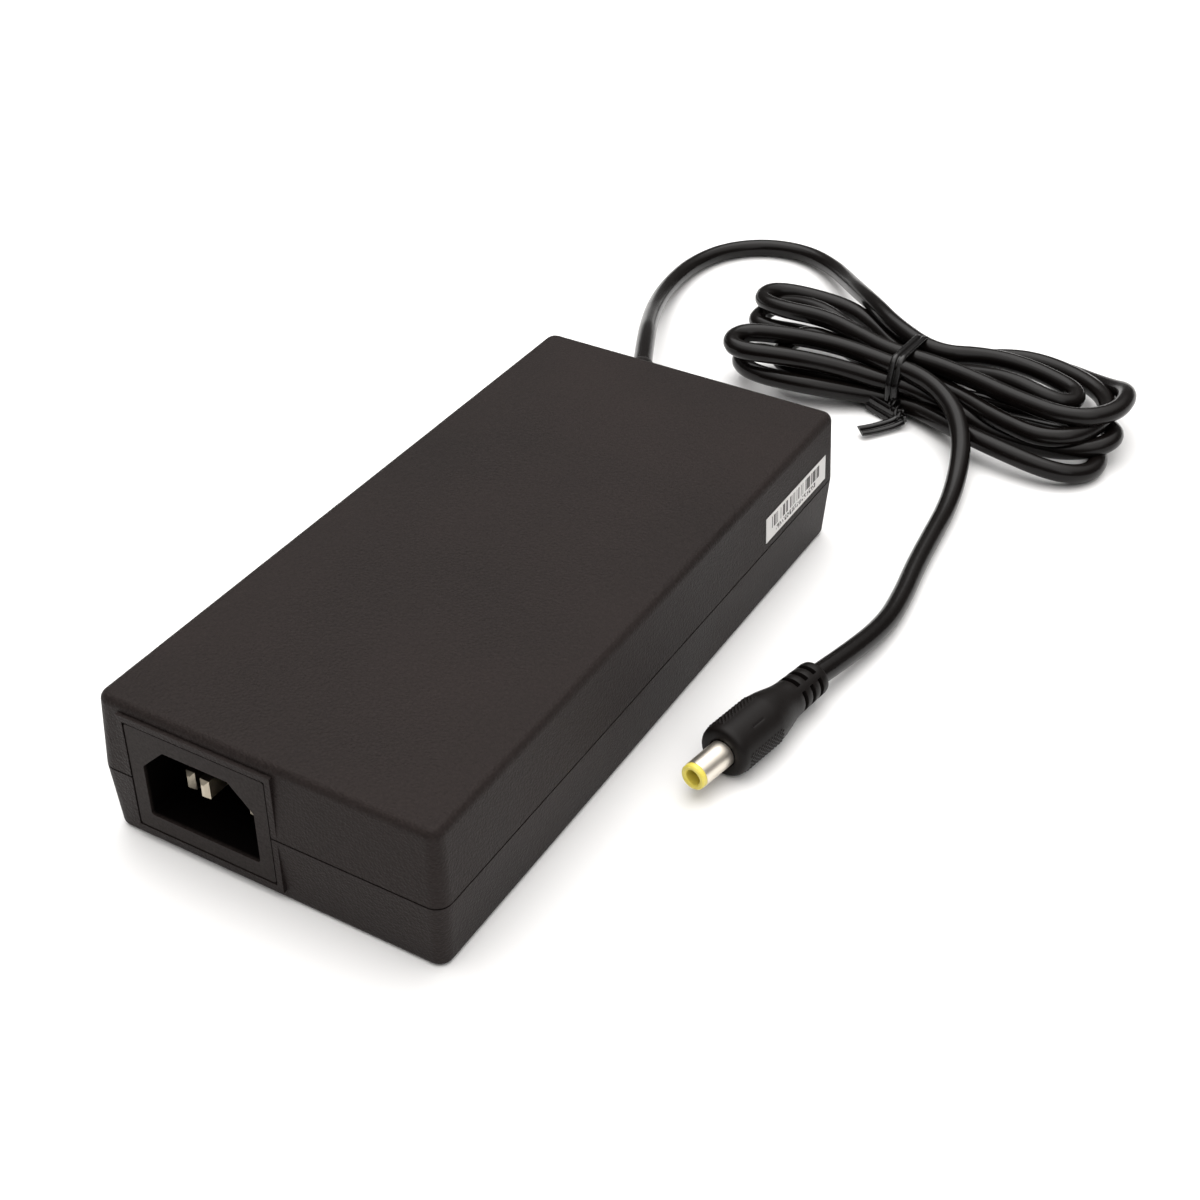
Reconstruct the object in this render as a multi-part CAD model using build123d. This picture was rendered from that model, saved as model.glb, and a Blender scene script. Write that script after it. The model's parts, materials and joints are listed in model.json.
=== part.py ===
"""Laptop power adapter: moulded two-shell brick, mains inlet, hanked low-voltage lead and barrel plug.

Frame: +Z up, +Y towards the lead's end, the inlet faces -Y, +X is the labelled long side.
The origin is at the middle of the brick's resting face. Lengths are millimetres.
"""

from build123d import *
from math import atan2, cos, degrees, radians, sin, tan
import os

# --- Driving dimensions: case -------------------------------------------------------------
LENGTH = 155.0              # along Y, at the seam
WIDTH = 73.5                # along X, at the seam
HEIGHT = 30.9
SEAM = 14.8                 # height of the joint between the two shells
WALL = 2.2
CORNER = 3.0                # upright corner radius at the seam
TOP_INSET = 0.9             # how far the draft brings each upper wall in at the top
BASE_INSET = 0.85           # the same for the lower walls at the base
TOP_ROUND = 1.8
BASE_ROUND = 1.4
SEAM_GAP = 0.35             # shadow line between the shells
LIP = 1.6                   # height of the lip that locates the upper shell
LIP_WALL = 1.0

# --- Mains inlet --------------------------------------------------------------------------
INLET_X = -13.9             # centre of the inlet
INLET_Z = 15.6
FACE_WIDTH = 30.5
FACE_HEIGHT = 23.3
FACE_THICK = 3.0
FACE_GAP = 0.3              # gap between the inlet's face and the shells
RIM = 1.25                  # raised rim of the shells around the inlet
RIM_DEPTH = 3.0
MOUTH_WIDTH = 24.5
MOUTH_HEIGHT = 16.5
MOUTH_CHAMFER = 5.1
MOUTH_DEPTH = 17.0
SOCKET_WIDTH = 27.8         # outside of the socket behind the face
SOCKET_HEIGHT = 19.8
SOCKET_LENGTH = 20.0
BLADE_THICK = 2.0
BLADE_HEIGHT = 4.0
BLADE_PITCH = 14.0          # live to neutral
BLADE_OFFSET = 2.0          # earth sits this far above the centre line, the others below
LINE_RECESS = 5.0           # live and neutral tips behind the inlet's face
EARTH_RECESS = 1.2
TAB_END = -54.5             # rear end of the solder tabs

# --- Lead and plug ------------------------------------------------------------------------
CORD = 4.6                  # diameter of the low-voltage lead
EXIT_X = -20.0
RELIEF_STRAIGHT = 3.0
RELIEF_ARC = 19.0
RELIEF_TURN = 24.0          # degrees that the strain relief has set to one side
RELIEF_BASE_R = 4.6
RELIEF_TIP_R = 3.1
GLAND_HOLE_R = 4.7
COLLAR_R = 6.5
COLLAR_THICK = 2.2

PLUG_TIP = Vector(51.8, -18.2, 5.5)
PLUG_HEADING = 10.25        # degrees from +Y towards +X
BARREL_R = 2.75
BARREL_LENGTH = 9.2
BARREL_WALL = 0.3
BARREL_HOLE_R = 1.6
TIP_THICK = 1.2             # thickness of the insulating ring at the mouth
CONTACT_START = 4.0         # the inner contact starts this far behind the tip
MOULD_R = 5.45
MOULD_LENGTH = 30.3

# --- Hank ---------------------------------------------------------------------------------
HANK_TOP = 13.8
TIE_X = 28.5
TIE_WIDTH = 5.0
TIE_THICK = 0.9
WAIST_FRONT = 130.5
WAIST_BACK = 155.0

# --- Inside -------------------------------------------------------------------------------
SPREADER = 0.8
SHEET = 0.4
BOARD_BOTTOM = 6.2
BOARD = 1.6
BOARD_TOP = BOARD_BOTTOM + BOARD
BOARD_HALF_X = 32.5
BOARD_HALF_Y = 72.0
NOTCH_X = 4.0               # the board is cut away for the inlet
NOTCH_Y = -53.0
PARTS_TOP = 25.4            # tallest parts end here
PAD = 0.8
POST_SITES = ((28.5, -68.0), (-28.5, -48.5), (28.5, 68.0), (-28.5, 68.0))
HEATSINK_X = 27.2
HEATSINK_THICK = 2.0
DEVICE_THICK = 4.5
SCREW_Z = 21.0
BRIDGE_Y = -40.0
PFC_TRANSISTOR_Y = -21.0
PFC_DIODE_Y = -8.0
MAIN_TRANSISTORS_Y = (5.0, 17.0)
RECTIFIERS_Y = (39.0, 53.0)
PRIMARY_DEVICES_Y = (BRIDGE_Y, PFC_TRANSISTOR_Y, PFC_DIODE_Y) + MAIN_TRANSISTORS_Y


def block(x0, x1, y0, y1, z0, z1):
    """A box between two corners."""
    middle = Pos((x0 + x1) / 2, (y0 + y1) / 2, (z0 + z1) / 2)
    return middle * Box(x1 - x0, y1 - y0, z1 - z0)


def rod(centre, radius, length, axis="Z"):
    """A cylinder about its centre, along one axis."""
    turn = {"X": Rot(0, 90, 0), "Y": Rot(90, 0, 0), "Z": Rot(0, 0, 0)}[axis]
    return Pos(*centre) * turn * Cylinder(radius, length)


def drafted(width, length, corner, z0, inset, z1):
    """A tapering block with rounded upright corners, from its full size at z0 to less at z1."""
    full = Pos(0, 0, z0) * RectangleRounded(width, length, corner)
    less = Pos(0, 0, z1) * RectangleRounded(width - 2 * inset, length - 2 * inset, corner - inset / 2)
    return loft([full, less], ruled=True)


def rim_block(grow):
    """The rim's outline around the inlet, as a solid that reaches behind the front wall."""
    half_x = FACE_WIDTH / 2 + FACE_GAP + grow
    half_z = FACE_HEIGHT / 2 + FACE_GAP + grow
    front = -LENGTH / 2 - (0.0 if grow else 1.0)
    back = -LENGTH / 2 + RIM_DEPTH + (0.0 if grow else 1.0)
    return block(INLET_X - half_x, INLET_X + half_x, front, back, INLET_Z - half_z, INLET_Z + half_z)


def gland_hole():
    """The round hole that both shells leave for the strain relief."""
    return rod((EXIT_X, LENGTH / 2, SEAM), GLAND_HOLE_R, 12, "Y")


def top_shell():
    """Upper moulding: drafted walls, rounded top edges, a rebate for the lower shell's lip."""
    z0 = SEAM + SEAM_GAP / 2
    outer = drafted(WIDTH, LENGTH, CORNER, z0, TOP_INSET, HEIGHT)
    outer = fillet(outer.faces().sort_by(Axis.Z)[-1].edges(), TOP_ROUND)
    outer += rim_block(RIM) & block(-WIDTH, WIDTH, -LENGTH, LENGTH, z0, HEIGHT)
    inner = drafted(WIDTH - 2 * WALL, LENGTH - 2 * WALL, CORNER - 1.2, z0 - 0.01, TOP_INSET, HEIGHT - WALL)
    rebate = drafted(WIDTH - 2 * LIP_WALL, LENGTH - 2 * LIP_WALL, CORNER - 0.8, z0 - 0.01, 0.0, z0 + LIP)
    shell = outer - inner - rebate - rim_block(0.0) - gland_hole()
    for y in (-40.0, 0.0, 40.0):
        shell += block(-30, 30, y - 0.8, y + 0.8, HEIGHT - WALL - 1.1, HEIGHT - WALL + 0.1)
    return shell


def bottom_shell():
    """Lower moulding: drafted walls, locating lip, and posts that carry the circuit board."""
    z0 = SEAM - SEAM_GAP / 2
    outer = drafted(WIDTH, LENGTH, CORNER, z0, BASE_INSET, 0.0)
    outer = fillet(outer.faces().sort_by(Axis.Z)[0].edges(), BASE_ROUND)
    outer += rim_block(RIM) & block(-WIDTH, WIDTH, -LENGTH, LENGTH, 0, z0)
    side = LIP_WALL + 0.15
    lip = drafted(WIDTH - 2 * side, LENGTH - 2 * side, CORNER - 0.9, z0 - 0.5, 0.0, z0 + LIP)
    inner = drafted(WIDTH - 2 * WALL, LENGTH - 2 * WALL, CORNER - 1.2, z0 + LIP + 0.5, BASE_INSET, WALL)
    shell = outer + lip - inner - rim_block(0.0) - gland_hole()
    for x, y in POST_SITES:
        shell += rod((x, y, (WALL + BOARD_BOTTOM) / 2), 2.3, BOARD_BOTTOM - WALL)
        shell += rod((x, y, BOARD_BOTTOM + 0.6), 1.2, 1.4)
    return shell


def mouth(width, height, chamfer):
    """Outline of the inlet's opening, its two upper corners cut off."""
    w = width / 2
    h = height / 2
    corners = [(-w, -h), (w, -h), (w, h - chamfer), (w - chamfer, h), (-w + chamfer, h), (-w, h - chamfer)]
    outline = make_face(Polyline(*corners, close=True))
    return fillet(outline.vertices(), 0.7)


def inlet_plane(depth):
    """A plane across the inlet, this far behind its face, looking out of the case."""
    return Plane((INLET_X, -LENGTH / 2 + 0.1 + depth, INLET_Z), x_dir=(1, 0, 0), z_dir=(0, -1, 0))


def blade_sites():
    """Centre of each blade across the inlet, and the depth of its tip."""
    return {
        "inlet_live_blade": (INLET_X - BLADE_PITCH / 2, INLET_Z - BLADE_OFFSET, LINE_RECESS),
        "inlet_neutral_blade": (INLET_X + BLADE_PITCH / 2, INLET_Z - BLADE_OFFSET, LINE_RECESS),
        "inlet_earth_blade": (INLET_X, INLET_Z + BLADE_OFFSET, EARTH_RECESS),
    }


def blade_slot(x, z, y0):
    """The space of one blade across the inlet, from y0 to the end of its tab."""
    half = BLADE_HEIGHT / 2
    return block(x - BLADE_THICK / 2, x + BLADE_THICK / 2, y0, TAB_END, z - half, z + half)


def blade(x, z, recess):
    """One contact blade with a pointed tip and a solder tab behind."""
    tip = -LENGTH / 2 + 0.1 + recess
    body = blade_slot(x, z, tip)
    return chamfer(body.faces().sort_by(Axis.Y)[0].edges(), 0.7)


def inlet_housing():
    """Moulded inlet: a flat face, a socket behind it and slots for the three blades."""
    face = extrude(inlet_plane(FACE_THICK) * RectangleRounded(FACE_WIDTH, FACE_HEIGHT, 0.6), FACE_THICK)
    socket_outline = RectangleRounded(SOCKET_WIDTH, SOCKET_HEIGHT, 1.5)
    socket = extrude(inlet_plane(SOCKET_LENGTH) * socket_outline, SOCKET_LENGTH)
    opening = mouth(MOUTH_WIDTH, MOUTH_HEIGHT, MOUTH_CHAMFER)
    cavity = extrude(inlet_plane(MOUTH_DEPTH) * opening, MOUTH_DEPTH + 1)
    housing = face + socket - cavity
    for x, z, _ in blade_sites().values():
        housing -= blade_slot(x, z, -65)
    return housing


def side_face_x(z):
    """Outer face of the upper shell's long side at a height."""
    return WIDTH / 2 - TOP_INSET * (z - SEAM) / (HEIGHT - SEAM)


def barcode_label():
    """Paper label low on the upper shell's long side, near the lead's end."""
    low, high = 16.7, 22.5
    lean = degrees(atan2(side_face_x(low) - side_face_x(high), high - low))
    label = Box(0.12, 29.2, high - low)
    middle = (low + high) / 2
    return Pos(side_face_x(middle) + 0.08, 57.2, middle) * Rot(0, -lean, 0) * label


def rating_label():
    """Label let into the underside, flush with the resting face."""
    return block(-27, 27, -38, 38, 0.05, 0.25)


def label_recess():
    """The shallow pocket under the case that takes the rating label."""
    return block(-27.3, 27.3, -38.3, 38.3, -0.1, 0.25)


def relief_station(s):
    """Point and heading in degrees of the strain relief's axis, s beyond the case."""
    y0 = LENGTH / 2
    if s <= RELIEF_STRAIGHT:
        return Vector(EXIT_X, y0 + s, SEAM), 0.0
    radius = RELIEF_ARC / radians(RELIEF_TURN)
    turn = (s - RELIEF_STRAIGHT) / radius
    droop = 0.8 * (1 - cos(1.4 * (s - RELIEF_STRAIGHT) / RELIEF_ARC))
    place = Vector(EXIT_X - radius * (1 - cos(turn)), y0 + RELIEF_STRAIGHT + radius * sin(turn), SEAM - droop)
    return place, degrees(turn)


def heading(turn, dip):
    """Unit direction that turns from +Y towards -X and dips below the horizontal, in degrees."""
    flat = cos(radians(dip))
    return Vector(-sin(radians(turn)) * flat, cos(radians(turn)) * flat, -sin(radians(dip)))


def cord_strain_relief():
    """Rubber strain relief: a collar trapped inside the case and a tapering, slightly bent tail."""
    length = RELIEF_STRAIGHT + RELIEF_ARC
    sections = []
    for s in (0.0, 3.0, 8.0, 13.0, 18.0, length):
        place, turn = relief_station(s)
        radius = RELIEF_BASE_R + (RELIEF_TIP_R - RELIEF_BASE_R) * s / length
        dip = 4.0 * s / length
        across = (cos(radians(turn)), sin(radians(turn)), 0)
        sections.append(Plane(place, x_dir=across, z_dir=heading(turn, dip)) * Circle(radius))
    tail = loft(sections)
    neck = rod((EXIT_X, LENGTH / 2 - WALL / 2, SEAM), RELIEF_BASE_R, WALL, "Y")
    collar = rod((EXIT_X, LENGTH / 2 - WALL - COLLAR_THICK / 2 - 0.1, SEAM), COLLAR_R, COLLAR_THICK, "Y")
    bridge = rod((EXIT_X, LENGTH / 2 - WALL, SEAM), RELIEF_BASE_R, 0.6, "Y")
    return tail + neck + collar + bridge


def gland_pocket():
    """Room inside both shells for the strain relief's collar."""
    y = LENGTH / 2 - WALL - COLLAR_THICK / 2 - 0.1
    return rod((EXIT_X, y, SEAM), COLLAR_R + 0.2, COLLAR_THICK + 0.2, "Y")


# --- Lead ---------------------------------------------------------------------------------

RELIEF_TIP = relief_station(RELIEF_STRAIGHT + RELIEF_ARC)[0]

LEAD_ROUTE = [
    (-32.0, 115.7, 12.6),
    (-37.3, 127.2, 9.8),
    (-42.3, 138.9, 7.0),
    (-46.5, 151.0, 4.8),
    (-49.2, 163.6, 3.4),
    (-49.7, 176.5, 2.6),
    (-46.2, 188.5, 2.4),
    (-37.0, 196.9, 2.4),
    (-24.9, 198.0, 2.8),
    (-14.0, 191.6, 3.8),
    (-5.5, 181.9, 6.0),
    (1.9, 171.8, 8.6),
    (10.6, 162.6, 10.4),
    (21.8, 153.6, 10.6),
]

TAIL_ROUTE = [
    (26.8, 134.8, 11.2),
    (35.9, 133.5, 11.2),
    (46.2, 126.6, 9.6),
    (52.0, 118.2, 6.4),
    (55.4, 107.0, 3.6),
    (57.6, 95.5, 2.5),
    (58.8, 83.1, 2.4),
    (60.1, 70.7, 2.4),
    (62.0, 58.6, 2.4),
    (62.9, 47.5, 2.8),
    (61.4, 33.8, 4.2),
]


def corner_radii(points):
    """The largest tangent arc that the runs beside each corner allow."""
    radii = []
    for before, corner, after in zip(points, points[1:], points[2:]):
        run_in = corner - before
        run_out = after - corner
        turn = radians(run_in.get_angle(run_out))
        radii.append(0.45 * min(run_in.length, run_out.length) / tan(turn / 2))
    return radii


def tube(name, points, diameter):
    """A round cord along straight runs joined by tangent arcs."""
    radii = corner_radii(points)
    print(name, "corner radii:", [round(r, 1) for r in radii])
    path = FilletPolyline(*points, radius=radii)
    start = Plane(points[0], z_dir=points[1] - points[0])
    solid = sweep(start * Circle(diameter / 2), path)
    section = 3.14159265 * diameter ** 2 / 4
    ratio = solid.volume / (section * path.length)
    print(name, "length", round(path.length, 1), "volume ratio", round(ratio, 4))
    return solid


def plug_direction():
    """Unit direction from the plug's tip towards its lead."""
    return Vector(sin(radians(PLUG_HEADING)), cos(radians(PLUG_HEADING)), 0)


def plug_point(distance):
    """Point on the plug's axis, this far behind its tip."""
    return PLUG_TIP + plug_direction() * distance


def hank_outline():
    """Outer shape of the tied hank from above: two fans of loops joined at a narrow waist."""
    corners = [
        (22, WAIST_BACK), (10, 157.5), (-4, 162), (-17, 160.5), (-22, 150), (-19, 135), (-10, 127), (4, 126.5),
        (22, WAIST_FRONT), (35, WAIST_FRONT), (50, 124), (67, 119), (79, 122.5), (84.5, 134), (85.5, 148),
        (77, 157.5), (59, 158.5), (35, WAIST_BACK),
    ]
    outline = make_face(Polyline(*corners, close=True))
    return fillet(outline.vertices(), 5.0)


def tie_band():
    """The tie's band: a closed strap around the waist."""
    x0 = TIE_X - TIE_WIDTH / 2
    x1 = TIE_X + TIE_WIDTH / 2
    outer = block(x0, x1, WAIST_FRONT, WAIST_BACK, 0.0, HANK_TOP)
    outer = fillet(outer.edges().filter_by(Axis.X), 4.0)
    grow = TIE_THICK
    inner = block(x0 - 1, x1 + 1, WAIST_FRONT + grow, WAIST_BACK - grow, grow, HANK_TOP - grow)
    inner = fillet(inner.edges().filter_by(Axis.X), 3.2)
    return outer - inner


def cord_hank():
    """One closed solid with the outer shape of the hank, grooved where the tie goes round."""
    solid = extrude(hank_outline(), HANK_TOP)
    solid = fillet(solid.faces().sort_by(Axis.Z)[-1].edges(), 3.0)
    x0 = TIE_X - TIE_WIDTH / 2
    x1 = TIE_X + TIE_WIDTH / 2
    grow = TIE_THICK + 0.05
    sleeve = block(x0, x1, WAIST_FRONT - 5, WAIST_BACK + 5, -1, HANK_TOP + 1)
    core = block(x0 - 1, x1 + 1, WAIST_FRONT + grow, WAIST_BACK - grow, grow, HANK_TOP - grow)
    core = fillet(core.edges().filter_by(Axis.X), 3.2)
    return solid - (sleeve - core)


def twist_tie(hank):
    """Flat wire tie: its band, the twisted knot in front of the hank and the free end."""
    knot = Pos(31.0, 127.6, 3.0) * Rot(0, 0, 20) * Box(4.0, 7.6, 4.4)
    free_end = Pos(28.2, 119.8, 1.5) * Rot(0, 0, -32) * Box(2.6, 13.0, 1.2)
    tie = tie_band() + (knot + free_end - hank)
    return tie.solids().sort_by(SortBy.VOLUME)[-1]


def cord_lead(relief, hank):
    """Free lead from the strain relief to the hank, trimmed where it meets them."""
    points = [RELIEF_TIP] + [Vector(*p) for p in LEAD_ROUTE]
    solid = tube("lead", points, CORD) - relief - hank
    return solid.solids().sort_by(SortBy.VOLUME)[-1]


def cord_tail(overmould, hank):
    """Free lead from the hank to the plug, trimmed where it meets them."""
    points = [Vector(*p) for p in TAIL_ROUTE] + [plug_point(BARREL_LENGTH + MOULD_LENGTH - 0.3)]
    solid = tube("tail", points, CORD) - overmould - hank
    return solid.solids().sort_by(SortBy.VOLUME)[-1]


# --- Plug ---------------------------------------------------------------------------------

def plug_frame():
    """A frame at the plug's tip whose Z runs back along the plug."""
    return Plane(PLUG_TIP, x_dir=(0, 0, 1), z_dir=plug_direction())


def turned(profile):
    """A solid of revolution about the plug's axis from (radius, distance) corners."""
    outline = make_face(Polyline(*profile, close=True))
    solid = revolve(Plane.XZ * outline, Axis.Z)
    return plug_frame() * solid


def plug_overmould():
    """Moulded grip that tapers into a slotted strain relief."""
    z0 = BARREL_LENGTH
    end = BARREL_LENGTH + MOULD_LENGTH
    profile = [
        (0, z0), (4.6, z0), (5.2, z0 + 0.6), (MOULD_R, z0 + 2.0), (MOULD_R, z0 + 8.0), (5.2, z0 + 15.0),
        (4.3, z0 + 18.5), (3.9, z0 + 21.0), (3.65, end), (0, end),
    ]
    return turned(profile)


def sleeve(inner, outer, start):
    """A tube on the plug's axis, from a start behind the tip to the grip."""
    profile = [(inner, start), (outer, start), (outer, BARREL_LENGTH), (inner, BARREL_LENGTH)]
    return turned(profile)


def plug_barrel():
    """Plated outer sleeve of the plug."""
    return sleeve(BARREL_R - BARREL_WALL, BARREL_R, TIP_THICK)


def plug_insulator():
    """Coloured insulating ring at the mouth, with its sleeve inside the barrel."""
    inner = BARREL_HOLE_R + BARREL_WALL
    outer = BARREL_R - BARREL_WALL
    profile = [
        (BARREL_HOLE_R, 0.3), (BARREL_HOLE_R + 0.3, 0), (2.4, 0), (2.65, 0.3), (2.65, TIP_THICK),
        (outer, TIP_THICK), (outer, BARREL_LENGTH), (inner, BARREL_LENGTH), (inner, CONTACT_START),
        (BARREL_HOLE_R, CONTACT_START),
    ]
    return turned(profile)


def plug_inner_contact():
    """Sleeve inside the insulator that takes the socket's pin."""
    return sleeve(BARREL_HOLE_R, BARREL_HOLE_R + BARREL_WALL, CONTACT_START)


# --- Board, screens and insulation ----------------------------------------------------------

def board_outline(margin, z0, z1):
    """A plate of the board's plan, with the front corner cut away for the inlet."""
    half_x = BOARD_HALF_X - margin
    half_y = BOARD_HALF_Y - margin
    plate = block(-half_x, half_x, -half_y, half_y, z0, z1)
    return plate - block(-half_x - 1, NOTCH_X + margin, -half_y - 1, NOTCH_Y + margin, z0 - 1, z1 + 1)


def drilled(plate, radius):
    """The plate with a hole at each of the lower shell's posts."""
    for x, y in POST_SITES:
        plate -= rod((x, y, 0), radius, 80)
    return plate


def circuit_board():
    return drilled(board_outline(0.0, BOARD_BOTTOM, BOARD_TOP), 1.4)


def lower_heat_spreader():
    return drilled(board_outline(1.0, WALL, WALL + SPREADER), 2.6)


def lower_insulating_sheet():
    return drilled(board_outline(0.5, WALL + SPREADER, WALL + SPREADER + SHEET), 2.6)


def upper_insulating_sheet():
    z0 = PARTS_TOP + PAD
    return board_outline(0.5, z0, z0 + SHEET)


def upper_heat_spreader():
    z0 = PARTS_TOP + PAD + SHEET
    return board_outline(1.0, z0, z0 + SPREADER)


def thermal_pads():
    """Soft pads that carry heat from the tall parts to the upper spreader."""
    pads = block(-29, -1, 13, 36, PARTS_TOP, PARTS_TOP + PAD)
    pads += block(-28, -6, -22, -2, PARTS_TOP, PARTS_TOP + PAD)
    return pads


# --- Mains side -----------------------------------------------------------------------------

def fuse():
    """Glass fuse with a cap at each end."""
    z = BOARD_TOP + 3.3
    body = rod((8.5, -62.5, z), 2.4, 18, "Y")
    for y in (-70.0, -55.0):
        body += rod((8.5, y, z), 2.7, 5, "Y")
    return body


def x_capacitors():
    """Two boxed suppression capacitors."""
    group = Part()
    for x in (17.6, 27.6):
        box = block(x - 4.3, x + 4.3, -70.5, -54.5, BOARD_TOP, BOARD_TOP + 14)
        group += fillet(box.edges().filter_by(Axis.Z), 0.8)
    return group


def disc(x, y, radius, thick):
    """A dipped disc component that stands on the board, its face along Y."""
    body = rod((x, y, BOARD_TOP + 2 + radius), radius, thick, "Y")
    body = fillet(body.edges(), thick * 0.3)
    for side in (-2.5, 2.5):
        body += rod((x + side, y, BOARD_TOP + 2), 0.4, 4.0)
    return body


def y_capacitors():
    """Two disc capacitors across the isolation gap."""
    return disc(9.5, 14.5, 4.0, 3.2) + disc(9.5, 36.5, 4.0, 3.2)


def toroid(x, y, outer, inner, height):
    """A ring core lying on the board, with room under it for its winding."""
    z = BOARD_TOP + 2.0 + height / 2
    ring = rod((x, y, z), outer, height) - rod((x, y, z), inner, height + 2)
    return fillet(ring.edges(), 0.6)


def ring_winding(x, y, outer, inner, height, spans):
    """Wire layers around a ring core, one block for each span of (start, turn) degrees."""
    z = BOARD_TOP + 2.0 + height / 2
    grow = 1.5
    full = rod((x, y, z), outer + grow, height + 2 * grow) - rod((x, y, z), inner - grow, height + 4 * grow)
    core = rod((x, y, z), outer, height) - rod((x, y, z), inner, height + 4)
    layer = full - core
    reach = outer + 20
    group = Part()
    for start, turn in spans:
        wedge_points = [(0, 0)]
        for step in range(5):
            angle = radians(start + turn * step / 4)
            wedge_points.append((reach * cos(angle), reach * sin(angle)))
        wedge = extrude(Pos(x, y, 0) * make_face(Polyline(*wedge_points, close=True)), 60)
        group += layer & wedge
    return group


LINE_CHOKE = (-8.5, -37.0, 9.6, 5.6, 8.0)
OUTPUT_CHOKE = (9.5, 54.5, 8.6, 4.8, 8.0)


def film_capacitor():
    return fillet(block(6.5, 20.5, -46, -36, BOARD_TOP, BOARD_TOP + 13).edges().filter_by(Axis.Z), 0.8)


def bulk_capacitor():
    """Large electrolytic can lying along the board, with a crimp near its seal."""
    can = rod((9.5, -8.0, BOARD_TOP + 8.8), 8.6, 34, "Y")
    can = fillet(can.edges(), 1.0)
    crimp = rod((9.5, -22.0, BOARD_TOP + 8.8), 9.5, 1.2, "Y") - rod((9.5, -22.0, BOARD_TOP + 8.8), 8.0, 2, "Y")
    return can - crimp


def wound_core(x, y, half_x, half_y, post):
    """A pair of ferrite halves around a round centre post."""
    z1 = PARTS_TOP
    body = block(x - half_x, x + half_x, y - half_y, y + half_y, BOARD_TOP, z1)
    window = rod((x, y, (BOARD_TOP + z1) / 2), half_x - 3.0, z1 - BOARD_TOP - 7.0)
    half_window = half_x * 0.62
    side = half_y + 1
    window += block(x - half_window, x + half_window, y - side, y + side, BOARD_TOP + 3.5, z1 - 3.5)
    return body - window + rod((x, y, (BOARD_TOP + z1) / 2), post, z1 - BOARD_TOP)


def bobbin(x, y, post, outer):
    """Plastic former: a tube on the centre post with a flange at each end."""
    z0 = BOARD_TOP + 3.5
    z1 = PARTS_TOP - 3.5
    body = rod((x, y, (z0 + z1) / 2), post + 1.0, z1 - z0)
    for z in (z0 + 0.5, z1 - 0.5):
        body += rod((x, y, z), outer, 1.0)
    return body - rod((x, y, (z0 + z1) / 2), post, z1 - z0 + 2)


def winding(x, y, post, outer):
    """Copper layers between a bobbin's flanges."""
    z0 = BOARD_TOP + 4.5
    z1 = PARTS_TOP - 4.5
    return rod((x, y, (z0 + z1) / 2), outer, z1 - z0) - rod((x, y, (z0 + z1) / 2), post, z1 - z0 + 2)


PFC_CHOKE = (-17.0, -12.0)
TRANSFORMER = (-15.0, 24.5)


def heatsink(y0, y1, devices):
    """Upright plate along the board's edge with a foot and a tapped hole for each device."""
    plate = block(HEATSINK_X, HEATSINK_X + HEATSINK_THICK, y0, y1, BOARD_TOP, PARTS_TOP)
    plate += block(HEATSINK_X, HEATSINK_X + 4.5, y0, y1, BOARD_TOP, BOARD_TOP + 1.5)
    for y in devices:
        plate -= rod((HEATSINK_X, y, SCREW_Z), 1.5, 20, "X")
    return plate


def device(y, half_width):
    """A flat power device against the heatsink, with three leads into the board."""
    x0 = HEATSINK_X - DEVICE_THICK
    body = block(x0, HEATSINK_X, y - half_width, y + half_width, BOARD_TOP + 3, PARTS_TOP - 1)
    for step in (-1, 0, 1):
        y_lead = y + step * half_width / 2
        body += block(x0 + 2.0, x0 + 2.7, y_lead - 0.4, y_lead + 0.4, BOARD_TOP, BOARD_TOP + 3.2)
    return body - rod((HEATSINK_X, y, SCREW_Z), 1.5, 20, "X")


def device_screws():
    """Pan-head screws that clamp the power devices to their heatsinks."""
    group = Part()
    for y in PRIMARY_DEVICES_Y + RECTIFIERS_Y:
        x0 = HEATSINK_X - DEVICE_THICK
        head = rod((x0 - 0.9, y, SCREW_Z), 2.6, 1.8, "X")
        shank_end = HEATSINK_X + HEATSINK_THICK
        shank = rod(((x0 + shank_end) / 2, y, SCREW_Z), 1.5, shank_end - x0, "X")
        slot = block(x0 - 2.0, x0 - 1.0, y - 1.8, y + 1.8, SCREW_Z - 0.3, SCREW_Z + 0.3)
        group += head + shank - slot
    return group


def device_group(sites):
    group = Part()
    for y in sites:
        group += device(y, 5.0)
    return group


# --- Low-voltage side -------------------------------------------------------------------------

def output_capacitors():
    """Three upright electrolytic cans."""
    group = Part()
    for x in (-26.5, -15.5, -4.5):
        can = rod((x, 46.0, BOARD_TOP + 8.0), 5.0, 16)
        group += fillet(can.edges(), 0.6)
    return group


def optocouplers():
    group = Part()
    for y in (22.0, 29.5):
        group += block(7.0, 13.4, y - 2.3, y + 2.3, BOARD_TOP + 0.6, BOARD_TOP + 4.0)
        for side in (6.2, 13.4):
            for step in (-1.27, 1.27):
                group += block(side, side + 0.8, y + step - 0.3, y + step + 0.3, BOARD_TOP, BOARD_TOP + 2.4)
    return group


def controller_chips():
    """Two surface-mount controllers under the board."""
    group = Part()
    for x, y in ((-4.0, -18.0), (4.0, 30.0)):
        group += block(x - 5.0, x + 5.0, y - 2.0, y + 2.0, BOARD_BOTTOM - 1.6, BOARD_BOTTOM - 0.2)
        for step in range(8):
            x_lead = x - 4.4 + 1.27 * step
            for y0, y1 in ((y - 3.0, y - 2.0), (y + 2.0, y + 3.0)):
                group += block(x_lead - 0.2, x_lead + 0.2, y0, y1, BOARD_BOTTOM - 0.6, BOARD_BOTTOM)
    return group


# --- Wires ------------------------------------------------------------------------------------

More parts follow.
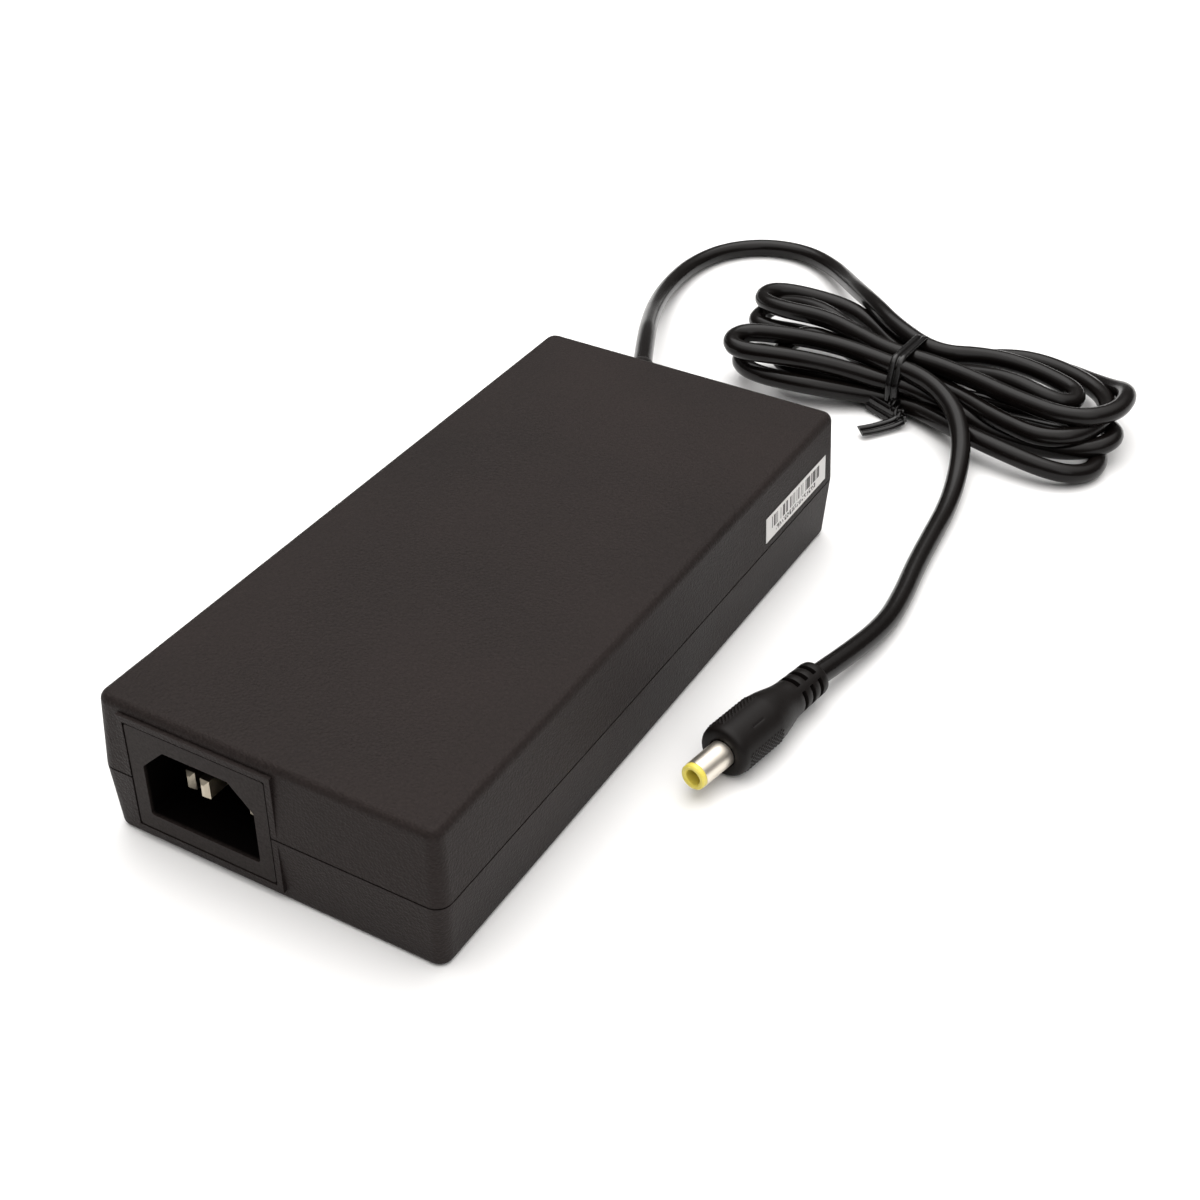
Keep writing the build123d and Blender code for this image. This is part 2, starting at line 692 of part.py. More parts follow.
def wire(points, diameter):
    """Insulated wire along filleted runs."""
    points = [Vector(*p) for p in points]
    path = FilletPolyline(*points, radius=[min(r, 4.0) for r in corner_radii(points)])
    return sweep(Plane(points[0], z_dir=points[1] - points[0]) * Circle(diameter / 2), path)


def inlet_wire(x, z, pad_x, pad_y):
    """Wire from a blade's tab to the board."""
    start = [(x, TAB_END, z), (x, TAB_END + 3.5, z)]
    return wire(start + [(pad_x, pad_y, z - 1.5), (pad_x, pad_y, BOARD_TOP)], 1.8)


def output_wire(side):
    """Wire from the board to the strain relief's collar."""
    collar = LENGTH / 2 - WALL - COLLAR_THICK - 0.1
    x = EXIT_X + side * 1.9
    pad_x = x + side * 2.0
    return wire([(pad_x, 58.0, BOARD_TOP), (pad_x, 58.0, 13.0), (x, 66.0, SEAM), (x, collar, SEAM)], 2.4)


# --- Assembly -----------------------------------------------------------------------------------

def build():
    """Every node's solid by name."""
    nodes = {}
    nodes["top_shell"] = top_shell() - gland_pocket()
    nodes["bottom_shell"] = bottom_shell() - gland_pocket() - label_recess()
    nodes["inlet_housing"] = inlet_housing()
    for name, (x, z, recess) in blade_sites().items():
        nodes[name] = blade(x, z, recess)
    nodes["barcode_label"] = barcode_label()
    nodes["rating_label"] = rating_label()
    nodes["cord_strain_relief"] = cord_strain_relief()

    nodes["plug_overmould"] = plug_overmould()
    nodes["cord_hank"] = cord_hank()
    nodes["cord_lead"] = cord_lead(nodes["cord_strain_relief"], nodes["cord_hank"])
    nodes["cord_tail"] = cord_tail(nodes["plug_overmould"], nodes["cord_hank"])
    nodes["twist_tie"] = twist_tie(nodes["cord_hank"])
    nodes["plug_barrel"] = plug_barrel()
    nodes["plug_insulator"] = plug_insulator()
    nodes["plug_inner_contact"] = plug_inner_contact()

    nodes["circuit_board"] = circuit_board()
    nodes["lower_heat_spreader"] = lower_heat_spreader()
    nodes["lower_insulating_sheet"] = lower_insulating_sheet()
    nodes["upper_insulating_sheet"] = upper_insulating_sheet()
    nodes["upper_heat_spreader"] = upper_heat_spreader()
    nodes["thermal_pads"] = thermal_pads()

    nodes["fuse"] = fuse()
    nodes["x_capacitors"] = x_capacitors()
    nodes["inrush_thermistor"] = disc(-26.5, -46.0, 5.5, 4.4)
    nodes["surge_varistor"] = disc(-26.5, -37.5, 5.5, 4.0)
    nodes["y_capacitors"] = y_capacitors()
    nodes["line_choke_core"] = toroid(*LINE_CHOKE)
    nodes["line_choke_windings"] = ring_winding(*LINE_CHOKE, ((25, 130), (205, 130)))
    nodes["film_capacitor"] = film_capacitor()
    nodes["bridge_rectifier"] = device(BRIDGE_Y, 10.0)
    nodes["pfc_transistor"] = device(PFC_TRANSISTOR_Y, 5.0)
    nodes["pfc_diode"] = device(PFC_DIODE_Y, 5.0)
    nodes["main_transistors"] = device_group(MAIN_TRANSISTORS_Y)
    nodes["primary_heatsink"] = heatsink(-51, 25, PRIMARY_DEVICES_Y)
    nodes["bulk_capacitor"] = bulk_capacitor()
    nodes["pfc_choke_core"] = wound_core(*PFC_CHOKE, 13.0, 11.5, 4.5)
    nodes["pfc_choke_bobbin"] = bobbin(*PFC_CHOKE, 4.5, 9.6)
    nodes["pfc_choke_winding"] = winding(*PFC_CHOKE, 5.5, 9.0)
    nodes["transformer_core"] = wound_core(*TRANSFORMER, 15.5, 13.0, 5.5)
    nodes["transformer_bobbin"] = bobbin(*TRANSFORMER, 5.5, 12.0)
    nodes["transformer_windings"] = winding(*TRANSFORMER, 6.5, 11.4)
    nodes["output_rectifiers"] = device_group(RECTIFIERS_Y)
    nodes["secondary_heatsink"] = heatsink(31, 64, RECTIFIERS_Y)
    nodes["device_screws"] = device_screws()
    nodes["output_choke_core"] = toroid(*OUTPUT_CHOKE)
    nodes["output_choke_winding"] = ring_winding(*OUTPUT_CHOKE, ((-60, 150), (90, 150)))
    nodes["output_capacitors"] = output_capacitors()
    nodes["optocouplers"] = optocouplers()
    nodes["controller_chips"] = controller_chips()

    nodes["live_wire"] = inlet_wire(INLET_X - BLADE_PITCH / 2, INLET_Z - BLADE_OFFSET, -21.5, -50.4)
    nodes["neutral_wire"] = inlet_wire(INLET_X + BLADE_PITCH / 2, INLET_Z - BLADE_OFFSET, 5.0, -50.4)
    nodes["output_positive_wire"] = output_wire(1)
    nodes["output_negative_wire"] = output_wire(-1)
    return nodes


def main():
    os.makedirs("parts", exist_ok=True)
    for name, solid in build().items():
        export_step(solid, f"parts/{name}.step")


main()
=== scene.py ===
import json
import math

import bpy
from mathutils import Matrix, Vector


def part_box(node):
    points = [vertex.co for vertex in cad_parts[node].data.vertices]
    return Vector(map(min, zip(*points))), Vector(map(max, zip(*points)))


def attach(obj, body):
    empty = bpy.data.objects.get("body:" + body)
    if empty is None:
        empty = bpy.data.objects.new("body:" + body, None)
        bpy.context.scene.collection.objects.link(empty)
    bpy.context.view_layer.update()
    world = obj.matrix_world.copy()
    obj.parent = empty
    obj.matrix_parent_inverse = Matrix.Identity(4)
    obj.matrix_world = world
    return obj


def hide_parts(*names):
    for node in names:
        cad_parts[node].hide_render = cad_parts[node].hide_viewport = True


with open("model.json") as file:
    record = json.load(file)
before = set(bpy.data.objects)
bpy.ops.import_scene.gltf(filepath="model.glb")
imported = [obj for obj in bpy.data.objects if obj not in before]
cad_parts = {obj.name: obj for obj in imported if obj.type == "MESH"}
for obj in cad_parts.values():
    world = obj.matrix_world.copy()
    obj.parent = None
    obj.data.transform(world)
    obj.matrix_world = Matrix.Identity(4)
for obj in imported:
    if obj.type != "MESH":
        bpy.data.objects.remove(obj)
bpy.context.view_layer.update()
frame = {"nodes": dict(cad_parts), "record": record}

bl_info = {
    "name": "Laptop power adapter",
    "version": (1, 0, 0),
    "blender": (4, 5, 0),
    "location": "3D View > Sidebar > Adapter",
    "description": "Dresses the packed model of a laptop power adapter: cord, plug, tie, finishes and stage",
    "category": "Object",
}

MM = 0.001


# --- Places, all in millimetres from the middle of the case's resting face --------------------

CORD = 4.6                      # diameter of the low-voltage lead
RELIEF_EXIT = (-20.0, 77.5, 14.8)
RELIEF_STRAIGHT = 3.0
RELIEF_ARC = 19.0
RELIEF_TURN = math.radians(24)
TIE_X = 28.5                    # where the tie holds the hank
PASS_HALF = 5                   # each pass runs level this far to either side of the tie
STRAND_START = 6                # an end loop's strands are measured from here
FIRST_PASS_SHIFT = 0.8          # the first pass comes in from the front by this much
BEND_STEP = 45                  # degrees between the points round the end of a loop
LEAD_END = 39.2                 # the lead ends this far behind the plug's tip, inside its grip

LEAD_ROUTE = [
    (-23.92, 98.95, 14.14), (-32.0, 115.7, 12.6), (-37.3, 127.2, 9.8), (-42.3, 138.9, 7.0),
    (-46.5, 151.0, 4.8), (-49.2, 163.6, 3.4), (-49.7, 176.5, 2.6), (-46.2, 188.5, 2.4),
    (-37.0, 196.9, 2.4), (-24.9, 198.0, 2.8), (-14.0, 191.6, 3.8), (-5.5, 181.9, 6.0),
    (1.9, 171.8, 9.2), (10.3, 162.3, 11.6), (20.2, 153.2, 11.9),
]
TAIL_ROUTE = [
    (35.9, 133.7, 11.3), (46.2, 126.6, 9.8), (52.0, 118.2, 6.4), (55.4, 107.0, 3.6),
    (57.6, 95.5, 2.5), (58.8, 83.1, 2.4), (60.1, 70.7, 2.4), (62.0, 58.6, 2.4),
    (62.9, 47.5, 2.8), (61.4, 33.8, 4.2),
]

# Each pass of the hank under the tie: (y, z) of its centre there.
SLOTS = {
    "top back": (147.0, 11.4), "top": (141.2, 11.5), "top front": (135.6, 11.6),
    "mid back": (148.9, 7.3), "mid": (144.0, 7.3), "mid fore": (139.0, 7.4), "mid front": (133.2, 7.7),
    "low back": (146.7, 3.2), "low": (142.0, 3.2), "low fore": (137.3, 3.2), "low front": (132.6, 3.2),
}

# The end loops in the order that the lead runs through them. side is +1 to the right of the tie.
# Then come the slot it leaves, the slot it returns to, whether it leaves by its far strand, the
# centre and half sizes of its end, heights of its far strand, end and near strand, and how far
# each strand bulges. Most of these values are the rounded result of a curve fit, not chosen by
# hand, and some ends bend tighter than such a lead should.
END_LOOPS = [
    (1, "top back", "mid", True, (63.4, 144.2), (6.8, 5.6), (10.0, 10.2, 12.4), (4.7, -1.9)),
    (-1, "mid", "low back", True, (-11.9, 153.5), (6.5, 5.7), (10.4, 4.7, 5.6), (-0.7, -2.1)),
    (1, "low back", "top", True, (67.7, 144.9), (14.0, 13.9), (2.3, 12.3, 12.0), (14.5, -1.3)),
    (-1, "top", "mid back", False, (-6.5, 156.3), (11.8, 7.2), (7.8, 9.8, 11.9), (3.6, -1.0)),
    (1, "mid back", "mid fore", True, (64.1, 141.4), (14.3, 15.7), (7.8, 8.8, 7.2), (6.8, -2.9)),
    (-1, "mid fore", "low fore", True, (1.9, 137.3), (5.0, 9.2), (7.7, 7.7, 7.7), (-0.2, 0.9)),
    (1, "low fore", "low front", True, (69.4, 130.2), (11.7, 10.7), (2.7, 2.4, 5.6), (-1.6, 1.2)),
    (-1, "low front", "low", False, (-0.4, 130.7), (11.5, 7.7), (2.4, 5.5, 6.5), (-3.9, 1.6)),
    (1, "low", "mid front", True, (67.9, 137.8), (14.3, 8.9), (2.4, 6.3, 2.4), (0.0, -1.4)),
    (-1, "mid front", "top front", False, (-6.4, 127.4), (6.7, 5.6), (12.0, 11.9, 12.0), (2.5, -1.0)),
]


# --- Colours ----------------------------------------------------------------------------------

def linear(hex_colour):
    """An sRGB hex colour as the linear RGBA that shaders take."""
    parts = [int(hex_colour[i:i + 2], 16) / 255 for i in (1, 3, 5)]
    return tuple(c / 12.92 if c <= 0.04045 else ((c + 0.055) / 1.055) ** 2.4 for c in parts) + (1.0,)


def swatch(name, description, hex_colour):
    """A colour that a user may change, with its default."""
    return bpy.props.FloatVectorProperty(
        name=name, description=description, subtype="COLOR",
        size=4, min=0, max=1, default=linear(hex_colour),
    )


def measure(name, description, default):
    """A length in metres that a user may change."""
    return bpy.props.FloatProperty(
        name=name, description=description, default=default,
        unit="LENGTH", subtype="DISTANCE", precision=5,
    )


# --- Settings ---------------------------------------------------------------------------------

class CaseSettings(bpy.types.PropertyGroup):
    plastic: swatch("Plastic", "Colour of the moulded shells", "#1D1817")
    grain: measure("Grain", "Width of one pit of the moulding texture", 0.55 * MM)
    grain_depth: measure("Grain depth", "Depth of the moulding texture", 0.08 * MM)


class CordSettings(bpy.types.PropertyGroup):
    jacket: swatch("Jacket", "Colour of the lead's jacket", "#0D0A09")
    diameter: measure("Diameter", "Diameter of the low-voltage lead", CORD * MM)


class PlugSettings(bpy.types.PropertyGroup):
    grip: swatch("Grip", "Colour of the moulded grip", "#120F0E")
    tip: swatch("Tip", "Colour of the insulating ring", "#E2D25C")
    grip_radius: measure("Grip radius", "Radius of the grip at its thickest", 5.45 * MM)
    pip_height: measure("Pip height", "Height of the grip's raised pips", 0.16 * MM)


class TieSettings(bpy.types.PropertyGroup):
    plastic: swatch("Plastic", "Colour of the tie's coating", "#0A0808")
    width: measure("Width", "Width of the two-ridged tie", 3.3 * MM)
    thickness: measure("Thickness", "Thickness of the tie at its ridges", 0.75 * MM)


class StageSettings(bpy.types.PropertyGroup):
    floor: swatch("Floor", "Colour of the floor", "#F4F4F4")
    key_power: bpy.props.FloatProperty(
        name="Key power", description="Power of the large soft light above", default=6.0, min=0, unit="POWER"
    )
    sky: bpy.props.FloatProperty(
        name="Sky", description="Brightness of the surroundings straight overhead", default=3.0, min=0
    )


# --- Nodes and materials ----------------------------------------------------------------------

def add(tree, kind, settings=None, inputs=None):
    """Adds a node with its settings, and values or links on its inputs."""
    made = tree.nodes.new(kind)
    for name, value in (settings or {}).items():
        setattr(made, name, value)
    for key, value in (inputs or {}).items():
        if isinstance(value, bpy.types.NodeSocket):
            tree.links.new(value, made.inputs[key])
        else:
            made.inputs[key].default_value = value
    return made


def blank(name):
    """A new material with an empty node tree."""
    material = bpy.data.materials.new(name)
    material.use_nodes = True
    material.node_tree.nodes.clear()
    return material, material.node_tree


def close(tree, shader):
    """Ends a material's tree in its output."""
    add(tree, "ShaderNodeOutputMaterial", inputs={"Surface": shader.outputs[0]})


def mottled(tree, pattern, low, high):
    """A colour that drifts between two shades by a pattern from 0 to 1."""
    ramp = add(tree, "ShaderNodeValToRGB", inputs={"Fac": pattern})
    ramp.color_ramp.elements[0].color = low
    ramp.color_ramp.elements[0].position = 0.3
    ramp.color_ramp.elements[1].color = high
    ramp.color_ramp.elements[1].position = 0.7
    return ramp.outputs["Color"]


def shade(colour, factor):
    """The same colour, lighter or darker."""
    return tuple(min(1.0, c * factor) for c in colour[:3]) + (1.0,)


def maths(tree, operation, first, second=0.0):
    """The result of one Math node."""
    return add(tree, "ShaderNodeMath", {"operation": operation}, {0: first, 1: second}).outputs[0]


def both(tree, first, second):
    """1 where two patterns are both 1, otherwise 0."""
    return maths(tree, "MULTIPLY", first, second)


def inside(tree, value, start, end):
    """1 where a value lies between two limits, otherwise 0."""
    return both(tree, maths(tree, "GREATER_THAN", value, start), maths(tree, "LESS_THAN", value, end))


def cell(tree, value, width, start=0.0):
    """The whole number of the cell that a value lies in."""
    return maths(tree, "FLOOR", maths(tree, "DIVIDE", maths(tree, "SUBTRACT", value, start), width))


def chance(tree, seed):
    """A fixed random number from 0 to 1 for each seed."""
    noise = add(tree, "ShaderNodeTexWhiteNoise", {"noise_dimensions": "1D"}, {"W": seed})
    return noise.outputs["Value"]


def finish(
    name, colour, roughness=0.5, metallic=0.0, grain=0.5, depth=0.02, drift=0.12, coat=0.0, shine=0.5
):
    """A solid material with a fine relief and a slow drift of shade; grain and depth are in mm."""
    material, tree = blank(name)
    place = add(tree, "ShaderNodeTexCoord").outputs["Object"]
    fine = add(tree, "ShaderNodeTexNoise", inputs={
        "Vector": place, "Scale": 1 / (grain * MM), "Detail": 2.0,
    })
    slow = add(tree, "ShaderNodeTexNoise", inputs={"Vector": place, "Scale": 60.0, "Detail": 3.0})
    gloss = add(tree, "ShaderNodeMapRange", inputs={
        "Value": slow.outputs["Fac"], "From Min": 0.3, "From Max": 0.7,
        "To Min": max(0.02, roughness - 0.05), "To Max": roughness + 0.05,
    })
    bump = add(tree, "ShaderNodeBump", inputs={
        "Height": fine.outputs["Fac"], "Distance": depth * MM, "Strength": 1.0,
    })
    base = mottled(tree, slow.outputs["Fac"], shade(colour, 1 - drift), shade(colour, 1 + drift))
    close(tree, add(tree, "ShaderNodeBsdfPrincipled", inputs={
        "Base Color": base, "Roughness": gloss.outputs[0], "Metallic": metallic,
        "Normal": bump.outputs[0], "Coat Weight": coat, "Specular IOR Level": shine,
    }))
    return material


def spark_eroded_abs(settings):
    """ABS moulded in a spark-eroded tool: a fine satin pitting that breaks up the highlight."""
    material, tree = blank("spark eroded ABS")
    place = add(tree, "ShaderNodeTexCoord").outputs["Object"]
    pits = add(tree, "ShaderNodeTexVoronoi", {"feature": "SMOOTH_F1"}, {
        "Vector": place, "Scale": 1 / settings.grain, "Smoothness": 0.6,
    })
    fine = add(tree, "ShaderNodeTexNoise", inputs={
        "Vector": place, "Scale": 2 / settings.grain, "Detail": 3.0,
    })
    relief = maths(tree, "ADD", pits.outputs["Distance"], fine.outputs["Fac"])
    cloud = add(tree, "ShaderNodeTexNoise", inputs={"Vector": place, "Scale": 28.0, "Detail": 4.0})
    speck = add(tree, "ShaderNodeTexNoise", inputs={
        "Vector": place, "Scale": 1 / settings.grain, "Detail": 1.0,
    })
    mixed = add(tree, "ShaderNodeMix", {"data_type": "FLOAT"}, {
        "Factor": 0.45, 2: cloud.outputs["Fac"], 3: speck.outputs["Fac"],
    })
    base = mottled(tree, mixed.outputs[0], shade(settings.plastic, 0.62), shade(settings.plastic, 1.45))
    gloss = add(tree, "ShaderNodeMapRange", inputs={
        "Value": cloud.outputs["Fac"], "From Min": 0.3, "From Max": 0.7, "To Min": 0.50, "To Max": 0.58,
    })
    bump = add(tree, "ShaderNodeBump", inputs={
        "Height": relief, "Distance": settings.grain_depth, "Strength": 1.0,
    })
    close(tree, add(tree, "ShaderNodeBsdfPrincipled", inputs={
        "Base Color": base, "Roughness": gloss.outputs[0], "Normal": bump.outputs[0],
        "Specular IOR Level": 0.15, "Specular Tint": linear("#FFF3EF"),
    }))
    return material


def glass_filled_nylon():
    """Nylon of the mains inlet: a pitted face, with painted shade that turns the inlet's opening near black
    deeper in.
    """
    material, tree = blank("glass filled nylon")
    place = add(tree, "ShaderNodeTexCoord").outputs["Object"]
    depth = add(tree, "ShaderNodeSeparateXYZ", inputs={0: place})
    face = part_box("inlet_housing")[0][1]
    # Painted shade: from 0.2 mm to 0.9 mm into the inlet's opening the base colour fades to near black and
    # the specular level drops, where shade falls.
    painted_mouth_shade = add(tree, "ShaderNodeMapRange", inputs={
        "Value": depth.outputs["Y"], "From Min": face + 0.2 * MM, "From Max": face + 0.9 * MM,
    })
    pits = add(tree, "ShaderNodeTexNoise", inputs={"Vector": place, "Scale": 1 / (0.5 * MM), "Detail": 3.0})
    outside = mottled(tree, pits.outputs["Fac"], linear("#15110F"), linear("#262120"))
    base = add(tree, "ShaderNodeMix", {"data_type": "RGBA"}, {
        "Factor": painted_mouth_shade.outputs[0], 6: outside, 7: linear("#040303"),
    })
    shine = add(tree, "ShaderNodeMapRange", inputs={
        "Value": painted_mouth_shade.outputs[0], "To Min": 0.14, "To Max": 0.03,
    })
    bump = add(tree, "ShaderNodeBump", inputs={"Height": pits.outputs["Fac"], "Distance": 0.03 * MM})
    close(tree, add(tree, "ShaderNodeBsdfPrincipled", inputs={
        "Base Color": base.outputs[2], "Roughness": 0.55, "Normal": bump.outputs[0],
        "Specular IOR Level": shine.outputs[0], "Specular Tint": linear("#FFF3EF"),
    }))
    return material


BAR_WIDTH = 0.27 * MM
TICK_WIDTH = 0.3 * MM
TICK_HEIGHT = 0.42 * MM


def barcode_stock():
    """Coated white label paper with a printed generic bar pattern and a row of plain ticks."""
    material, tree = blank("coated label paper")
    low, high = (Vector(corner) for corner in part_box("barcode_label"))
    height = high.z - low.z
    place = add(tree, "ShaderNodeTexCoord").outputs["Object"]
    apart = add(tree, "ShaderNodeSeparateXYZ", inputs={0: place})
    along = apart.outputs["Y"]
    up = apart.outputs["Z"]

    bars = maths(tree, "GREATER_THAN", chance(tree, cell(tree, along, BAR_WIDTH, low.y)), 0.46)
    bars = both(tree, bars, inside(tree, up, low.z + 0.40 * height, low.z + 0.88 * height))
    bars = both(tree, bars, inside(tree, along, low.y + 2.6 * MM, high.y - 2.2 * MM))

    column = cell(tree, along, TICK_WIDTH, low.y)
    row = cell(tree, up, TICK_HEIGHT, low.z)
    seed = maths(tree, "ADD", column, maths(tree, "MULTIPLY", row, 97.0))
    ticks = maths(tree, "GREATER_THAN", chance(tree, seed), 0.42)
    gap = maths(tree, "GREATER_THAN", maths(tree, "MODULO", column, 4.0), 0.5)
    ticks = both(tree, ticks, gap)
    ticks = both(tree, ticks, inside(tree, up, low.z + 0.12 * height, low.z + 0.33 * height))
    ticks = both(tree, ticks, inside(tree, along, low.y + 4.6 * MM, high.y - 5.2 * MM))

    base = add(tree, "ShaderNodeMix", {"data_type": "RGBA"}, {
        "Factor": maths(tree, "MAXIMUM", bars, ticks), 6: linear("#DAD8D6"), 7: linear("#3A3533"),
    })
    fibre = add(tree, "ShaderNodeTexNoise", inputs={"Vector": place, "Scale": 3000.0, "Detail": 3.0})
    bump = add(tree, "ShaderNodeBump", inputs={"Height": fibre.outputs["Fac"], "Distance": 0.006 * MM})
    close(tree, add(tree, "ShaderNodeBsdfPrincipled", inputs={
        "Base Color": base.outputs[2], "Roughness": 0.45, "Normal": bump.outputs[0],
    }))
    return material


LINE_PITCH = 5.2 * MM
DASH_WIDTH = 1.4 * MM


def rating_film():
    """Dark polyester film, with rows of plain pale dashes in place of print."""
    material, tree = blank("printed polyester film")
    high = Vector(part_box("rating_label")[1])
    place = add(tree, "ShaderNodeTexCoord").outputs["Object"]
    apart = add(tree, "ShaderNodeSeparateXYZ", inputs={0: place})
    across = apart.outputs["X"]
    along = apart.outputs["Y"]

    in_line = maths(tree, "FRACT", maths(tree, "DIVIDE", along, LINE_PITCH))
    line = maths(tree, "MULTIPLY", cell(tree, along, LINE_PITCH), 57.0)
    seed = maths(tree, "ADD", line, cell(tree, across, DASH_WIDTH))
    dashes = both(
        tree, maths(tree, "LESS_THAN", in_line, 0.2), maths(tree, "GREATER_THAN", chance(tree, seed), 0.25)
    )
    edge_x = maths(tree, "LESS_THAN", maths(tree, "ABSOLUTE", across), high.x - 4.0 * MM)
    edge_y = maths(tree, "LESS_THAN", maths(tree, "ABSOLUTE", along), high.y - 6.0 * MM)
    dashes = both(tree, dashes, both(tree, edge_x, edge_y))
    base = add(tree, "ShaderNodeMix", {"data_type": "RGBA"}, {
        "Factor": dashes, 6: linear("#232020"), 7: linear("#A9A6A2"),
    })
    close(tree, add(tree, "ShaderNodeBsdfPrincipled", inputs={
        "Base Color": base.outputs[2], "Roughness": 0.34,
    }))
    return material


def enamelled_wire(name, hex_colour, pitch):
    """Lacquered copper wire wound side by side: fine ridges with a wet gloss. pitch is in mm."""
    material, tree = blank(name)
    place = add(tree, "ShaderNodeTexCoord").outputs["Object"]
    turns = add(tree, "ShaderNodeTexWave", {"bands_direction": "Z"}, {
        "Vector": place, "Scale": 0.314 / (pitch * MM), "Distortion": 1.5, "Detail": 1.0,
    })
    # Painted shade: the colour drops to under half in the grooves between turns, in step with the relief, and
    # stays full on the ridges.
    base = mottled(tree, turns.outputs["Fac"], shade(linear(hex_colour), 0.45), linear(hex_colour))
    bump = add(tree, "ShaderNodeBump", inputs={"Height": turns.outputs["Fac"], "Distance": 0.25 * MM})
    close(tree, add(tree, "ShaderNodeBsdfPrincipled", inputs={
        "Base Color": base, "Metallic": 0.75, "Roughness": 0.3, "Coat Weight": 0.5,
        "Normal": bump.outputs[0],
    }))
    return material


def solder_masked_laminate():
    """Glass-epoxy board under green solder mask, with copper tracks that show as paler lines."""
    material, tree = blank("solder masked laminate")
    place = add(tree, "ShaderNodeTexCoord").outputs["Object"]
    tracks = add(tree, "ShaderNodeTexVoronoi", {"feature": "DISTANCE_TO_EDGE"}, {
        "Vector": place, "Scale": 110.0,
    })
    base = mottled(tree, tracks.outputs["Distance"], linear("#3C8446"), linear("#1C5A2B"))
    bump = add(tree, "ShaderNodeBump", inputs={
        "Height": tracks.outputs["Distance"], "Distance": 0.05 * MM,
    })
    close(tree, add(tree, "ShaderNodeBsdfPrincipled", inputs={
        "Base Color": base, "Roughness": 0.32, "Normal": bump.outputs[0],
    }))
    return material


def paint(obj, material):
    """Gives a piece or a CAD node one material."""
    obj.data.materials.clear()
    obj.data.materials.append(material)


# --- Shaping helpers --------------------------------------------------------------------------

def select_only(obj=None):
    """Deselects everything, then makes one object the active one."""
    bpy.ops.object.select_all(action="DESELECT")
    if obj:
        obj.select_set(True)
    bpy.context.view_layer.objects.active = obj


def fresh(name):
    """Names the primitive just added and its mesh."""
    obj = bpy.context.object
    obj.name = name
    obj.data.name = name
    return obj


def apply_modifiers(obj):
    """Applies every modifier of a piece, in order."""
    select_only(obj)
    for name in [m.name for m in obj.modifiers]:
        bpy.ops.object.modifier_apply(modifier=name)


def smooth(obj, angle=35):
    """Smooth shading that keeps edges sharper than an angle."""
    select_only(obj)
    bpy.ops.object.shade_smooth_by_angle(angle=math.radians(angle))


def turned(name, stations, sides):
    """A piece turned about Z from (radius, height) stations in mm, closed at both ends."""
    radius, height = stations[0]
    select_only()
    bpy.ops.mesh.primitive_circle_add(vertices=sides, radius=radius * MM, location=(0, 0, height * MM))
    obj = fresh(name)
    bpy.ops.object.transform_apply(location=True, rotation=True, scale=True)
    bpy.ops.object.mode_set(mode="EDIT")
    bpy.ops.mesh.select_mode(type="VERT")
    bpy.ops.mesh.select_all(action="SELECT")
    for next_radius, next_height in stations[1:]:
        rise = (next_height - height) * MM
        bpy.ops.mesh.extrude_region_move(TRANSFORM_OT_translate={"value": (0, 0, rise)})
        ratio = next_radius / radius
        bpy.ops.transform.resize(value=(ratio, ratio, 1), center_override=(0, 0, next_height * MM))
        radius, height = next_radius, next_height
    bpy.ops.mesh.select_all(action="SELECT")
    bpy.ops.mesh.fill_holes(sides=0)
    bpy.ops.mesh.select_all(action="SELECT")
    bpy.ops.mesh.normals_make_consistent(inside=False)
    bpy.ops.object.mode_set(mode="OBJECT")
    return obj


def select_faces(obj, chosen):
    """Selects the faces of a mesh whose centre passes a test, and only those."""
    bpy.ops.object.mode_set(mode="EDIT")
    bpy.ops.mesh.select_mode(type="FACE")
    bpy.ops.mesh.select_all(action="DESELECT")
    bpy.ops.object.mode_set(mode="OBJECT")
    count = 0
    for face in obj.data.polygons:
        face.select = bool(chosen(face.center, face.normal))
        count += face.select
    if not count:
        raise RuntimeError(f"{obj.name}: no face to shape")
    bpy.ops.object.mode_set(mode="EDIT")


def swept(name, section, frames, closed):
    """A strip with a section of (across, out) in mm, carried along frames of (point, across, out)."""
    columns = len(section) + 1
    rows = len(frames) + (1 if closed else 0)
    select_only()
    bpy.ops.mesh.primitive_grid_add(x_subdivisions=columns - 1, y_subdivisions=rows - 1, size=1)
    obj = fresh(name)
    for index, vertex in enumerate(obj.data.vertices):
        row, column = divmod(index, columns)
        point, across, out = frames[row % len(frames)]
        t, h = section[column % len(section)]
        vertex.co = (point + across * t + out * h) * MM
    bpy.ops.object.mode_set(mode="EDIT")
    bpy.ops.mesh.select_mode(type="VERT")
    bpy.ops.mesh.select_all(action="SELECT")
    bpy.ops.mesh.remove_doubles(threshold=0.001 * MM)
    bpy.ops.mesh.fill_holes(sides=0)
    bpy.ops.mesh.select_all(action="SELECT")
    bpy.ops.mesh.normals_make_consistent(inside=False)
    bpy.ops.object.mode_set(mode="OBJECT")
    return obj


def join(pieces, name):
    """Joins pieces into the first one."""
    select_only(pieces[0])
    for piece in pieces[1:]:
        piece.select_set(True)
    bpy.ops.object.join()
    return fresh(name)


# --- The lead ---------------------------------------------------------------------------------

def relief_axis(s):
    """Point and heading of the strain relief's axis, s mm beyond the case."""
    x, y, z = RELIEF_EXIT
    if s <= RELIEF_STRAIGHT:
        return Vector((x, y + s, z)), 0.0
    radius = RELIEF_ARC / RELIEF_TURN
    turn = (s - RELIEF_STRAIGHT) / radius
    droop = 0.8 * (1 - math.cos(1.4 * (s - RELIEF_STRAIGHT) / RELIEF_ARC))
    sideways = radius * (1 - math.cos(turn))
    return Vector((x - sideways, y + RELIEF_STRAIGHT + radius * math.sin(turn), z - droop)), turn


def plug_axis():
    """The plug's tip in mm and the unit direction back along it, from the record's mount."""
    mount = next(m for m in frame["record"]["mounts"] if m["name"] == "dc_plug_barrel")
    return Vector(mount["pos_m"]) / MM, -Vector(mount["axis"]).normalized()


